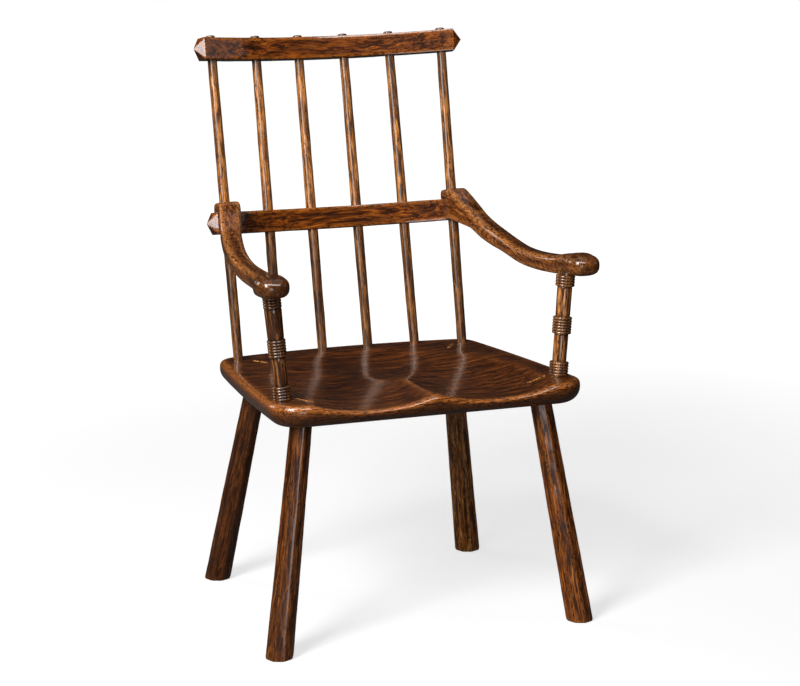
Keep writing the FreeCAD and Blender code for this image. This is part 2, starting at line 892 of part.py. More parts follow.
def arm_point_at(y):
    """The point of the arm's centre curve at a distance y."""
    low = arm_curve.FirstParameter
    high = arm_curve.LastParameter
    while high - low > 1e-6:
        middle = (low + high) / 2
        if arm_curve.value(middle).y > y:
            low = middle
        else:
            high = middle
    return arm_curve.value(low)


def make_arm():
    """The left arm blank: curve, knob and the block that laps over the rail."""
    sections = []
    for number in range(ARM_SECTIONS):
        share = number / (ARM_SECTIONS - 1)
        sections.append(rounded_section(f"arm_section_{number}", arm_frame(share), share))
    bar = add("Part::Loft", "arm_bar")
    bar.Sections = sections
    bar.Solid = True
    bar.MaxDegree = ARM_SPLINE_DEGREE
    origin, centre, radius = RAILS["middle_rail"]
    local = outer_crossing - origin
    rail_face = size("middle_rail_face") / 2
    rail_depth = size("middle_rail_depth") / 2
    rail_frame = Placement(origin, rail_turn)
    across = local.dot(rail_back)
    low = Vector(
        local.x - size("lap_width") / 2,
        across - rail_depth - size("lap_front"),
        size("lap_foot") - rail_face,
    )
    high = Vector(
        local.x + size("lap_width") / 2,
        across + rail_depth,
        rail_face + size("lap_rise"),
    )
    block = box("lap_block", rail_frame, low, high)
    document.recompute()
    inverse = rail_frame.inverse()

    eased = add("Part::Fillet", "lap_eased")
    eased.Base = block
    roundings = []
    for number, edge in enumerate(block.Shape.Edges, 1):
        ends = [inverse.multVec(vertex.Point) for vertex in edge.Vertexes]
        if min(end.z for end in ends) > high.z - clearance:
            radius = size("lap_top_round")
        elif max(end.z for end in ends) < low.z + clearance:
            continue
        elif min(end.y for end in ends) > high.y - clearance:
            radius = size("lap_back_round")
        else:
            continue
        roundings.append((number, radius, radius))
    eased.Edges = roundings
    room = Vector(-BIG, -BIG, high.z - size("lap_top_round")), Vector(BIG, BIG, BIG)
    over_block = box("over_block", rail_frame, *room)
    trimmed = cut("arm_bar", bar, over_block)
    knob = add("Part::Ellipsoid", "knob")
    knob.Placement = Placement(knob_centre, Rotation())
    bind(
        knob,
        Radius1="sizes.knob_thickness / 2",
        Radius2="sizes.knob_width / 2",
        Radius3="sizes.knob_length / 2",
    )
    return fuse("arm_blank", trimmed, eased, knob)


# Arm posts: turned beads and shafts, standing on the seat and let into the arm


def bead_run(start, count, radius):
    """Half-round beads side by side; returns their arcs and where they end."""
    pitch = size("bead_pitch")
    arcs = []
    for bead in range(count):
        low = start + bead * pitch
        crown = Vector(radius, low + pitch / 2, 0)
        valley = radius - pitch / 2
        arcs.append(Part.Arc(Vector(valley, low, 0), crown, Vector(valley, low + pitch, 0)))
    return arcs, start + count * pitch


def make_post():
    """The left arm post, and the sockets that it needs in the seat and arm."""
    foot = Vector(size("post_spread"), seat_origin.y, size("seat_height"))
    top = arm_point_at(-size("post_top_reach")) - SIDE * size("post_top_inset")
    direction = unit(top - foot)
    full = (top - foot).Length
    underside = full - size("arm_front_thickness") / 2
    bead = size("post_bead_diameter") / 2
    valley = bead - size("bead_pitch") / 2
    lower, lower_end = bead_run(0, int(size("lower_beads")), bead)
    middle, middle_end = bead_run(size("middle_bead_start"), int(size("middle_beads")), bead)
    upper_start = underside - size("upper_beads") * size("bead_pitch")
    upper, upper_end = bead_run(upper_start, int(size("upper_beads")), bead)
    waist = size("post_waist_diameter") / 2
    swell = size("post_upper_diameter") / 2 - waist

    def shaft(low, high):
        """A tapering length of shaft with the steps at both of its ends."""
        low_radius = waist + swell * (low - lower_end) / (upper_start - lower_end)
        high_radius = waist + swell * (high - lower_end) / (upper_start - lower_end)
        points = [
            Vector(valley, low, 0),
            Vector(low_radius, low, 0),
            Vector(high_radius, high, 0),
            Vector(valley, high, 0),
        ]
        return [Part.LineSegment(a, b) for a, b in zip(points, points[1:])]

    neck_end = upper_end + size("post_neck")
    start = [Vector(0, -MARGIN, 0), Vector(valley, -MARGIN, 0), Vector(valley, 0, 0)]
    finish = [Vector(valley, upper_end, 0), Vector(valley, neck_end, 0), Vector(0, neck_end, 0)]
    edges = [Part.LineSegment(a, b) for a, b in zip(start, start[1:])]
    edges += lower + shaft(lower_end, size("middle_bead_start"))
    edges += middle + shaft(middle_end, upper_start) + upper
    edges += [Part.LineSegment(a, b) for a, b in zip(finish, finish[1:])]
    edges.append(Part.LineSegment(finish[-1], start[0]))
    body = add("PartDesign::Body", "post_turned")
    sketch = body_sketch(body, "post_profile", "XZ_Plane")
    for edge in edges:
        sketch.addGeometry(edge)
    turning = body.newObject("PartDesign::Revolution", "post_turning")
    turning.Profile = sketch
    turning.ReferenceAxis = (sketch, ["V_Axis"])
    body.Placement = along(foot, direction)
    seat_solid = box(
        "seat_solid", seat_frame, Vector(-BIG, -BIG, -BIG), Vector(BIG, BIG, 0)
    )
    scribed = cut("post_turned", body, seat_solid)
    socket = size("post_socket")
    tenon_end = upper_end + size("post_arm_socket")
    tenon_start = foot - direction * socket
    tenon_length = socket + tenon_end
    radius = "sizes.post_tenon / 2"
    tenon = cylinder("post_tenon", tenon_start, direction, tenon_length, radius)
    post = fuse("post", scribed, tenon)
    piece(post, "arm_post_left")
    piece(mirrored("post_twin", post), "arm_post_right")
    bead_radius = "sizes.post_bead_diameter / 2"
    neck_radius = f"{bead_radius} - sizes.bead_pitch / 2"
    steps = (
        ("seat_socket", -socket - clearance, MARGIN, radius),
        ("arm_flat", upper_end - BEAD_ROOM, upper_end, bead_radius),
        ("arm_neck", upper_end - clearance, neck_end + clearance, neck_radius),
        ("arm_socket", neck_end, tenon_end + clearance, radius),
    )
    return [
        cylinder(
            f"post_{name}",
            foot + direction * low,
            direction,
            high - low,
            f"{width} + sizes.joint_clearance",
        )
        for name, low, high, width in steps
    ]


arm_blank = make_arm()
post_seat_hole, *post_arm_holes = make_post()
rail_recess = make_rail_bar("lap_recess", "middle_rail", clearance)
arm = cut("arm", arm_blank, rail_recess, *arm_holes, *post_arm_holes)
piece(arm, "arm_left")
piece(mirrored("arm_twin", arm), "arm_right")

seat_holes.extend(both_sides("post_seat_hole", post_seat_hole))
seat_bores = fuse("seat_bores", *seat_holes)
piece(cut("seat", plank, space_above, seat_bores), "seat")

document.recompute()

for item in document.Objects:
    if "Invalid" in item.State or "Error" in item.State:
        raise RuntimeError(f"{item.Name} is in state {item.State}")
for item in pieces:
    if item.Shape.isNull() or not item.Shape.isValid():
        raise RuntimeError(f"{item.Label} has no valid shape")
    if len(item.Shape.Solids) != 1:
        raise RuntimeError(f"{item.Label} has {len(item.Shape.Solids)} solids")

os.makedirs("parts", exist_ok=True)
for item in pieces:
    item.Shape.exportStep(f"parts/{item.Label}.step")
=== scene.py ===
"""Looks of a comb-back stick armchair in old oak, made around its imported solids."""

import math

import bmesh
import bpy
import numpy as np
from mathutils import Matrix, Vector


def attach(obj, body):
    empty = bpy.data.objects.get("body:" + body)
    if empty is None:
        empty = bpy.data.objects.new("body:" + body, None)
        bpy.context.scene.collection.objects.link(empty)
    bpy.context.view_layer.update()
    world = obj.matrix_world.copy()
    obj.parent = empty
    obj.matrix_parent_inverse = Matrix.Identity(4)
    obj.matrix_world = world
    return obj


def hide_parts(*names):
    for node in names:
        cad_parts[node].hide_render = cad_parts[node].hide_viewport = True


bl_info = {
    "name": "Comb-back armchair",
    "version": (1, 0, 0),
    "blender": (4, 5, 0),
    "location": "3D View > Sidebar > Armchair",
    "description": "Old oak armchair with a saddled seat, six spindles, curved arms and turned posts",
    "category": "Add Mesh",
}

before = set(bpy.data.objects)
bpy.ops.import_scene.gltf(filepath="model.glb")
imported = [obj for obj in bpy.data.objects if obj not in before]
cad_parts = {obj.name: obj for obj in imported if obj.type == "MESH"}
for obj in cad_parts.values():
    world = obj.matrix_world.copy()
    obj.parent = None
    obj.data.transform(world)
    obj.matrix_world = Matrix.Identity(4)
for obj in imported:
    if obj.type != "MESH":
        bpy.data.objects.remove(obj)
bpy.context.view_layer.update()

MM = 0.001
X_AXIS = np.array((1.0, 0.0, 0.0))
Y_AXIS = np.array((0.0, 1.0, 0.0))
Z_AXIS = np.array((0.0, 0.0, 1.0))
# Left and right are the sitter's, and left is at positive X
SIDES = {1: "left", -1: "right"}
SMOOTH_ANGLE = math.radians(38)


def length(name, millimetres, description):
    """A size of the chair, given in millimetres and kept in metres."""
    return bpy.props.FloatProperty(
        name=name,
        description=description,
        default=millimetres * MM,
        unit="LENGTH",
        precision=4,
    )


def turn(name, degrees, description):
    return bpy.props.FloatProperty(
        name=name,
        description=description,
        default=math.radians(degrees),
        subtype="ANGLE",
    )


def number(name, value, description):
    return bpy.props.FloatProperty(name=name, description=description, default=value)


def watts(name, value, description):
    return bpy.props.FloatProperty(
        name=name, description=description, default=value, unit="POWER"
    )


def count(name, value, description):
    return bpy.props.IntProperty(name=name, description=description, default=value, min=1)


def colour(name, value, description):
    return bpy.props.FloatVectorProperty(
        name=name,
        description=description,
        default=value,
        size=3,
        subtype="COLOR",
        min=0.0,
        max=1.0,
    )


def chair_point(name, value, description):
    return bpy.props.FloatVectorProperty(
        name=name,
        description=description,
        default=value,
        subtype="TRANSLATION",
        unit="LENGTH",
    )


class SeatSizes(bpy.types.PropertyGroup):
    """Sizes of the saddled plank."""

    height: length("Height", 458, "Top of the seat at the arm posts")
    slope: turn("Slope", 2.1, "Fall of the seat to the back")
    thickness: length("Thickness", 42, "Thickness of the plank")
    front_width: length("Front width", 600, "Width along the front edge")
    back_width: length("Back width", 522, "Width at the rear corners")
    depth: length("Depth", 491, "From the front edge to the rear corners")
    front_edge: length("Front edge", 320.5, "Front edge ahead of the middle of the chair")
    side_bow: length("Side bow", 6, "Swell of each side")
    back_bow: length("Back bow", 26, "Swell of the back edge")
    front_corner: length("Front corners", 58, "Rounding of the front corners")
    rear_corner: length("Rear corners", 46, "Rounding of the rear corners")
    top_round: length("Top edge", 12, "Rounding of the top edge")
    under_round: length("Under edge", 27, "Rounding of the under edge")
    hollow_spread: length("Hollow spread", 118, "Leg hollows from the middle")
    hollow_depth: length("Hollow depth", 17, "Depth of the leg hollows")
    hollow_inset: length("Hollow inset", 190, "Leg hollows behind the front edge")
    hollow_across: length("Hollow across", 165, "Half width of a leg hollow's curve")
    hollow_along: length("Hollow along", 370, "Half length of a leg hollow's curve")
    hollow_curve: length("Hollow curve", 55, "Height of a leg hollow's curve")
    hollow_tilt: turn("Hollow tilt", 2.5, "Rise of the leg hollows to the back")
    dish_depth: length("Dish depth", 13, "Depth of the rear dish")
    dish_inset: length("Dish inset", 312, "Dish behind the front edge")
    dish_across: length("Dish across", 260, "Half width of the dish's curve")
    dish_along: length("Dish along", 230, "Half length of the dish's curve")
    dish_curve: length("Dish curve", 60, "Height of the dish's curve")
    ridge_softness: length("Ridge softness", 1.6, "How far the ridges between hollows are worn")


class LegSizes(bpy.types.PropertyGroup):
    """Sizes of the eight-sided legs and their wedges."""

    front_foot_x: length("Front feet apart", 294, "Front feet from the middle")
    front_foot_y: length("Front feet ahead", 300.5, "Front feet ahead of the middle")
    front_socket_x: length("Front tops apart", 225, "Front leg tops from the middle")
    front_socket_y: length("Front tops ahead", 241, "Front leg tops ahead of the middle")
    rear_foot_x: length("Rear feet apart", 265, "Rear feet from the middle")
    rear_foot_y: length("Rear feet behind", 176.5, "Rear feet behind the middle")
    rear_socket_x: length("Rear tops apart", 195, "Rear leg tops from the middle")
    rear_socket_y: length("Rear tops behind", 102.5, "Rear leg tops behind the middle")
    foot_width: length("Foot", 49, "Across the flats at the foot")
    top_width: length("Top", 39, "Across the flats under the seat")
    tenon: length("Tenon", 36, "Round tenon through the seat")
    wedge: length("Wedge", 6, "Thickness of the wedge in the tenon")
    front_turn: turn("Front wedges", 8, "Turn of the front wedges")
    rear_turn: turn("Rear wedges", 58, "Turn of the rear wedges")


class SpindleSizes(bpy.types.PropertyGroup):
    """Sizes of the six spindles."""

    inner_foot: length("Inner feet", 47, "Inner feet from the middle")
    middle_foot: length("Middle feet", 140, "Middle feet from the middle")
    outer_foot: length("Outer feet", 230.5, "Outer feet from the middle")
    arc_reach: length("Foot arc reach", 171, "Middle of the arc of feet behind the middle")
    arc_bow: length("Foot arc bow", 41, "Bow of the arc of feet")
    inner_tip: length("Inner tips", 46.5, "Inner tips from the middle")
    middle_tip: length("Middle tips", 137.5, "Middle tips from the middle")
    outer_tip: length("Outer tips", 235.5, "Outer tips from the middle")
    foot_width: length("Foot", 18, "Thickness at the seat")
    middle_width: length("Middle", 19.6, "Thickness at the middle rail")
    top_width: length("Top", 17.6, "Thickness at the crest")
    socket: length("Socket", 26, "Depth in the seat")
    tip_stand: length("Tip", 4.5, "How far a tip stands above the crest")
    wedge: length("Wedge", 2.6, "Thickness of the wedge in a tip")


class RailSizes(bpy.types.PropertyGroup):
    """Sizes of the crest rail and of the middle rail."""

    lean: turn("Lean", 12.6, "Lean of the rails to the back")
    crest_height: length("Crest height", 1014.5, "Middle of the crest above the floor")
    crest_reach: length("Crest reach", 308.5, "Middle of the crest behind the middle")
    crest_bow: length("Crest bow", 44, "Bow of the crest between the outer spindles")
    crest_face: length("Crest face", 43, "Height of the crest's face")
    crest_depth: length("Crest depth", 30, "Thickness of the crest")
    crest_half: length("Crest half length", 257, "Half length of the crest to its points")
    middle_height: length("Middle height", 691, "Middle rail above the floor")
    middle_face: length("Middle face", 42, "Height of the middle rail's face")
    middle_depth: length("Middle depth", 28, "Thickness of the middle rail")
    middle_half: length("Middle half length", 259, "Half length of the middle rail")
    point: length("Point", 17, "Length of the four-sided ends")


class ArmSizes(bpy.types.PropertyGroup):
    """Sizes of the arms with their knobs and laps."""

    root_width: length("Root width", 42, "Width at the back")
    root_thickness: length("Root thickness", 31.5, "Thickness at the back")
    middle_width: length("Middle width", 36.5, "Width half way")
    middle_thickness: length("Middle thickness", 29.5, "Thickness half way")
    front_width: length("Front width", 39, "Width behind the knob")
    front_thickness: length("Front thickness", 35, "Thickness behind the knob")
    start_forward: length("Start forward", 15, "Start ahead of the rail")
    start_rise: length("Start rise", 35.5, "Start above the rail")
    end_height: length("End height", 664.5, "Height of the bar's end in the knob")
    knob_width: length("Knob width", 59.8, "Width of the knob")
    knob_length: length("Knob length", 64, "Length of the knob")
    knob_thickness: length("Knob thickness", 39, "Thickness of the knob")
    lap_width: length("Lap width", 43.5, "Width of the block at the rail")
    lap_front: length("Lap front", 16, "Block ahead of the rail")
    lap_rise: length("Lap rise", 18.5, "Block above the rail")
    lap_foot: length("Lap foot", 0.5, "Block above the rail's underside")
    lap_back_round: length("Lap back", 14, "Rounding of the block's back corners")
    shoulder: chair_point("Shoulder", (0.249, 0.1125, 0.690), "Second pole of the left arm's curve")
    slope: chair_point("Slope", (0.2665, 0.029, 0.6695), "Third pole of the left arm's curve")
    bow: chair_point("Bow", (0.272, -0.066, 0.6495), "Fourth pole of the left arm's curve")
    grip: chair_point("Grip", (0.271, -0.170, 0.654), "Fifth pole of the left arm's curve")
    knob: chair_point("Knob", (0.295, -0.280, 0.6685), "Middle of the left knob")


class PostSizes(bpy.types.PropertyGroup):
    """Sizes of the turned arm posts."""

    spread: length("Feet apart", 266.5, "Post feet from the middle")
    reach: length("Feet ahead", 247.5, "Post feet ahead of the middle")
    top_reach: length("Tops ahead", 238, "Post tops ahead of the middle")
    top_inset: length("Top inset", 2.7, "Post tops inside the arm's middle")
    bead_width: length("Beads", 34.6, "Thickness over the beads")
    upper_width: length("Upper shaft", 29.8, "Thickness under the upper beads")
    waist_width: length("Waist", 25.6, "Thickness over the lower beads")
    bead_change: length("Bead change", 1.2, "How much the left post is thicker over its beads")
    shaft_change: length("Shaft change", 1.8, "How much the left post is thinner in its upper shaft")
    tenon: length("Tenon", 20, "Thickness of the tenons")
    pitch: length("Bead pitch", 5.2, "Height of one bead")
    middle_start: length("Middle beads", 78, "Middle beads above the seat")
    lower_beads: count("Lower beads", 5, "Beads on the seat")
    middle_beads: count("Middle beads", 6, "Beads half way")
    upper_beads: count("Upper beads", 4, "Beads under the arm")


class WoodLooks(bpy.types.PropertyGroup):
    """Colours and finish of the old waxed oak."""

    # Dark is also the colour of the painted shade, and Pits that of the dirt and painted shade in
    # creases
    dark: colour("Dark", (0.020, 0.0052, 0.0013), "Colour of the darkest grain")
    pit: colour("Pits", (0.006, 0.0026, 0.0016), "Colour of pits and pores")
    seat: colour("Seat", (0.205, 0.050, 0.0075), "Main colour of the seat")
    seat_light: colour("Seat light", (0.56, 0.175, 0.032), "Light grain of the seat")
    leg: colour("Legs", (0.180, 0.042, 0.0060), "Main colour of the legs")
    leg_light: colour("Legs light", (0.60, 0.190, 0.030), "Light grain of the legs")
    rail: colour("Rails", (0.255, 0.056, 0.0042), "Main colour of the rails")
    rail_light: colour("Rails light", (0.52, 0.150, 0.014), "Light grain of the rails")
    arm: colour("Arms", (0.250, 0.062, 0.0110), "Main colour of the arms")
    arm_light: colour("Arms light", (0.66, 0.240, 0.050), "Light grain of the arms")
    post: colour("Posts", (0.420, 0.130, 0.0260), "Main colour of the arm posts")
    post_light: colour("Posts light", (0.95, 0.420, 0.120), "Light grain of the arm posts")
    spindle: colour("Spindles", (0.520, 0.165, 0.0240), "Main colour of the spindles")
    spindle_light: colour("Spindles light", (0.88, 0.370, 0.075), "Light grain of the spindles")
    gloss: number("Wax", 1.0, "Weight of the wax coat")


class StageLooks(bpy.types.PropertyGroup):
    """The floor and the lamps; left and right are the picture's here."""

    floor: number("Floor", 0.40, "Brightness of the floor")
    floor_bounce: number("Floor bounce", 0.10, "Brightness of the floor that lights the chair")
    floor_glow: number("Floor glow", 0.70, "Light that the camera sees from the floor at the chair")
    key: watts("Key lamp", 140.0, "Power of the high lamp at the front left")
    soft: watts("Soft lamp", 52.0, "Power of the wide lamp at the front left")
    front: watts("Front lamp", 14.0, "Power of the low lamp in front")
    fill: watts("Fill lamp", 2.5, "Power of the lamp at the front right")
    top: watts("Top lamp", 11.0, "Power of the lamp overhead")
    back: watts("Back lamp", 28.0, "Power of the lamp at the back left")
    glint: watts("Glint lamp", 125.0, "Power of the high lamp that shows only in the polish")
    ambient: number("Ambient", 0.02, "Strength of the light from all round")
    sheen: number("Sheen", 0.015, "Strength of the surroundings in reflections")


GROUPS = {
    "seat": SeatSizes,
    "legs": LegSizes,
    "spindles": SpindleSizes,
    "rails": RailSizes,
    "arms": ArmSizes,
    "posts": PostSizes,
    "wood": WoodLooks,
    "stage": StageLooks,
}


def sizes(group):
    """The chosen sizes or looks of one group."""
    return getattr(bpy.context.scene, f"armchair_{group}")


# Lines and planes that several pieces share


def unit(vector):
    return vector / np.linalg.norm(vector)


def ease(low, high, value):
    """A soft step from 0 at low to 1 at high."""
    share = np.clip((value - low) / (high - low), 0, 1)
    return share * share * (3 - 2 * share)


def mixed(low, high, share):
    return low + (high - low) * share


def seat_origin():
    return np.array((0.0, -sizes("posts").reach, sizes("seat").height))


def seat_axes():
    """Directions along and square to the seat's top."""
    slope = sizes("seat").slope
    along = np.array((0.0, math.cos(slope), -math.sin(slope)))
    return along, np.array((0.0, math.sin(slope), math.cos(slope)))


def seat_level(y):
    """Height of the flat part of the seat's top at y."""
    return sizes("seat").height - math.tan(sizes("seat").slope) * (y + sizes("posts").reach)


def rail_axes():
    """Directions to the back of a rail and up its face."""
    lean = sizes("rails").lean
    back = np.array((0.0, math.cos(lean), -math.sin(lean)))
    return back, np.array((0.0, math.sin(lean), math.cos(lean)))


def arc_drop(x, half, bow):
    """How far an arc that drops by bow at half has dropped at x."""
    radius = (half * half + bow * bow) / (2 * bow)
    return radius - math.sqrt(radius * radius - x * x)


def crest_origin():
    rails = sizes("rails")
    return np.array((0.0, rails.crest_reach, rails.crest_height))


def spindle_line(stick):
    """Foot and direction of a spindle of the left half."""
    spindles = sizes("spindles")
    rails = sizes("rails")
    back = rail_axes()[0]
    foot_x = getattr(spindles, f"{stick}_foot")
    foot_y = spindles.arc_reach - arc_drop(foot_x, spindles.outer_foot, spindles.arc_bow)
    foot = np.array((foot_x, foot_y, seat_level(foot_y)))
    tip_x = getattr(spindles, f"{stick}_tip")
    bow = rails.crest_bow / math.cos(rails.lean)
    drop = arc_drop(tip_x, spindles.outer_tip, bow)
    crossing = crest_origin() + X_AXIS * tip_x - back * drop
    return foot, unit(crossing - foot)


def middle_origin():
    """The middle of the middle rail."""
    y = sizes("spindles").arc_reach
    foot = np.array((0.0, y, seat_level(y)))
    rise = crest_origin() - foot
    return foot + rise * (sizes("rails").middle_height - foot[2]) / rise[2]


def spindle_at(stick, origin):
    """Where a spindle's axis crosses the rail plane through origin."""
    foot, direction = spindle_line(stick)
    up = rail_axes()[1]
    return foot + direction * (np.dot(origin - foot, up) / np.dot(direction, up))


def rail_arc(origin, ends):
    """Centre distance and radius of the arc through two points of a rail."""
    back = rail_axes()[0]
    (ax, ay), (bx, by) = [(end[0], np.dot(end - origin, back)) for end in ends]
    centre = (bx * bx + by * by - ax * ax - ay * ay) / (2 * (by - ay))
    return centre, math.hypot(ax, ay - centre)


# Node trees


class Tree:
    """A short way to fill a node tree."""

    def __init__(self, tree):
        self.tree = tree

    def add(self, kind, inputs=None, **settings):
        """A new node with its settings, and its inputs linked or set."""
        node = self.tree.nodes.new(kind)
        for name, value in settings.items():
            setattr(node, name, value)
        for name, value in (inputs or {}).items():
            self.join(node, name, value)
        return node

    def join(self, node, name, value):
        if isinstance(name, int):
            socket = node.inputs[name]
        else:
            socket = next(item for item in node.inputs if item.name == name and item.enabled)
        if isinstance(value, bpy.types.NodeSocket):
            self.tree.links.new(value, socket)
        elif isinstance(value, bpy.types.Node):
            output = next(item for item in value.outputs if item.enabled)
            self.tree.links.new(output, socket)
        else:
            socket.default_value = value

    def math(self, operation, *values):
        node = self.add("ShaderNodeMath", dict(enumerate(values)), operation=operation)
        return node.outputs[0]

    def times(self, product, *values):
        """The product of all the values."""
        for value in values:
            product = self.math("MULTIPLY", product, value)
        return product

    def vector(self, operation, *values):
        node = self.add("ShaderNodeVectorMath", operation=operation)
        for index, value in enumerate(values):
            target = "Scale" if operation == "SCALE" and index == 1 else index
            self.join(node, target, value)
        return node.outputs["Value"] if operation == "LENGTH" else node.outputs[0]

    def blend(self, share, first, second, blend_type="MIX"):
        """A mix of two colours."""
        node = self.add("ShaderNodeMix", data_type="RGBA", blend_type=blend_type)
        self.join(node, "Factor", share)
        self.join(node, "A", first)
        self.join(node, "B", second)
        return next(item for item in node.outputs if item.enabled)

    def span(self, value, low, high, out_low=0.0, out_high=1.0, smooth=True):
        """The value between low and high spread over a new range."""
        kind = "SMOOTHSTEP" if smooth else "LINEAR"
        inputs = {
            "Value": value,
            "From Min": low,
            "From Max": high,
            "To Min": out_low,
            "To Max": out_high,
        }
        return self.add("ShaderNodeMapRange", inputs, interpolation_type=kind).outputs[0]

    def noise(self, vector, scale, detail=2.0, roughness=0.5, distortion=0.0):
        inputs = {
            "Vector": vector,
            "Scale": scale,
            "Detail": detail,
            "Roughness": roughness,
            "Distortion": distortion,
        }
        return self.add("ShaderNodeTexNoise", inputs)


def empty_tree(owner):
    """The node tree of a new material or world, without nodes."""
    owner.use_nodes = True
    owner.node_tree.nodes.clear()
    return Tree(owner.node_tree)


def geometry_tree(name, sockets):
    """A new geometry tree with its inputs, which passes on one geometry."""
    group = bpy.data.node_groups.new(name, "GeometryNodeTree")
    group.is_modifier = True
    for socket_name, kind in sockets:
        group.interface.new_socket(socket_name, in_out="INPUT", socket_type=f"NodeSocket{kind}")
    group.interface.new_socket("Geometry", in_out="OUTPUT", socket_type="NodeSocketGeometry")
    tree = Tree(group)
    start = tree.add("NodeGroupInput")
    return group, tree, start


def close_tree(tree, geometry, material):
    """The last nodes of every tree: plain geometry with its material."""
    smooth = tree.add("GeometryNodeSetShadeSmooth", {"Geometry": geometry})
    real = tree.add("GeometryNodeRealizeInstances", {"Geometry": smooth})
    coated = tree.add("GeometryNodeSetMaterial", {"Geometry": real, "Material": material})
    tree.add("NodeGroupOutput", {"Geometry": coated})


def bar_tree():
    """A bar swept through rings, whose sections go from round to square or eight-sided."""
    existing = bpy.data.node_groups.get("Swept bar")
    if existing:
        return existing
    group, tree, start = geometry_tree(
        "Swept bar",
        (
            ("Rings", "Geometry"),
            ("Around", "Int"),
            ("Wander", "Float"),
            ("Wander scale", "Float"),
            ("Seed", "Float"),
            ("Material", "Material"),
        ),
    )
    rings = start.outputs["Rings"]
    counted = tree.add("GeometryNodeAttributeDomainSize", {"Geometry": rings})
    segments = tree.math("SUBTRACT", counted.outputs["Point Count"], 1)
    around = start.outputs["Around"]
    skin = tree.add(
        "GeometryNodeMeshCylinder",
        {"Vertices": around, "Side Segments": segments, "Radius": 1.0, "Depth": 1.0},
        fill_type="NGON",
    )
    place = tree.add("GeometryNodeInputPosition")
    split = tree.add("ShaderNodeSeparateXYZ", {"Vector": place})
    low = tree.add(
        "GeometryNodeAttributeStatistic",
        {"Geometry": skin.outputs["Mesh"], "Attribute": split.outputs["Z"]},
    )
    share = tree.math("SUBTRACT", split.outputs["Z"], low.outputs["Min"])
    index = tree.math("ROUND", tree.times(share, segments))

    def ring_value(name, kind):
        """A value of the ring that the point belongs to."""
        if name == "position":
            source = place
        else:
            source = tree.add("GeometryNodeInputNamedAttribute", {"Name": name}, data_type=kind)
        sample = tree.add("GeometryNodeSampleIndex", data_type=kind)
        for key, value in (("Geometry", rings), ("Value", source), ("Index", index)):
            tree.join(sample, key, value)
        return next(item for item in sample.outputs if item.enabled)

    cosine = split.outputs["X"]
    sine = split.outputs["Y"]
    power = ring_value("power", "FLOAT")
    eight = ring_value("eight", "FLOAT")
    half_turn = math.sqrt(0.5)
    slant_a = tree.times(tree.math("ADD", cosine, sine), half_turn)
    slant_b = tree.times(tree.math("SUBTRACT", cosine, sine), half_turn)
    terms = []
    for part in (cosine, sine, slant_a, slant_b):
        terms.append(tree.math("POWER", tree.math("ABSOLUTE", part), power))
    straight = tree.math("ADD", terms[0], terms[1])
    slanted = tree.times(tree.math("ADD", terms[2], terms[3]), eight)
    total = tree.math("ADD", straight, slanted)
    reach = tree.math("POWER", total, tree.math("DIVIDE", -1.0, power))
    out = ring_value("position", "FLOAT_VECTOR")
    for axis, part, half in (("across", cosine, "half_width"), ("rise", sine, "half_height")):
        step = tree.times(part, reach, ring_value(half, "FLOAT"))
        out = tree.vector("ADD", out, tree.vector("SCALE", ring_value(axis, "FLOAT_VECTOR"), step))
    shifted = tree.vector("ADD", out, start.outputs["Seed"])
    drift = tree.noise(shifted, scale=start.outputs["Wander scale"])
    centred = tree.vector("SUBTRACT", drift.outputs["Color"], (0.5, 0.5, 0.5))
    wander = tree.vector("SCALE", centred, start.outputs["Wander"])
    offset = tree.vector("SCALE", wander, ring_value("free", "FLOAT"))
    moved = tree.add(
        "GeometryNodeSetPosition",
        {"Geometry": skin.outputs["Mesh"], "Position": out, "Offset": offset},
    )
    close_tree(tree, moved, start.outputs["Material"])
    return group


# Thickness of a wedge at its thin end, and how far its top is worn round
WEDGE_TAPER = 0.45
WEDGE_CROWN = 0.06


def wedge_tree():
    """The same wedge set on every point and turned by the point's values."""
    existing = bpy.data.node_groups.get("Wedges")
    if existing:
        return existing
    group, tree, start = geometry_tree(
        "Wedges",
        (
            ("Points", "Geometry"),
            ("Length", "Float"),
            ("Thickness", "Float"),
            ("Depth", "Float"),
            ("Material", "Material"),
        ),
    )
    block = tree.add(
        "GeometryNodeMeshCube",
        {"Size": (1.0, 1.0, 1.0), "Vertices X": 5, "Vertices Y": 5, "Vertices Z": 5},
    )
    place = tree.add("GeometryNodeInputPosition")
    split = tree.add("ShaderNodeSeparateXYZ", {"Vector": place})
    # The wedge thins downwards, and its top edges are worn round
    height = tree.math("ADD", split.outputs["Z"], 0.5)
    thin = tree.span(height, 0.0, 1.0, WEDGE_TAPER, 1.0, smooth=False)
    crown = tree.times(split.outputs["X"], split.outputs["X"], WEDGE_CROWN)
    sunk = tree.math("SUBTRACT", tree.math("SUBTRACT", split.outputs["Z"], crown), 0.5)
    shaped = tree.add(
        "ShaderNodeCombineXYZ",
        {
            "X": tree.times(split.outputs["X"], start.outputs["Length"]),
            "Y": tree.times(split.outputs["Y"], thin, start.outputs["Thickness"]),
            "Z": tree.times(sunk, start.outputs["Depth"]),
        },
    )
    wedge = tree.add(
        "GeometryNodeSetPosition", {"Geometry": block.outputs["Mesh"], "Position": shaped}
    )
    up, span = [
        tree.add("GeometryNodeInputNamedAttribute", {"Name": name}, data_type="FLOAT_VECTOR")
        for name in ("up", "span")
    ]
    facing = tree.add(
        "FunctionNodeAxesToRotation",
        {"Primary Axis": up, "Secondary Axis": span},
        primary_axis="Z",
        secondary_axis="X",
    )
    placed = tree.add(
        "GeometryNodeInstanceOnPoints",
        {"Points": start.outputs["Points"], "Instance": wedge, "Rotation": facing},
    )
    close_tree(tree, placed, start.outputs["Material"])
    return group


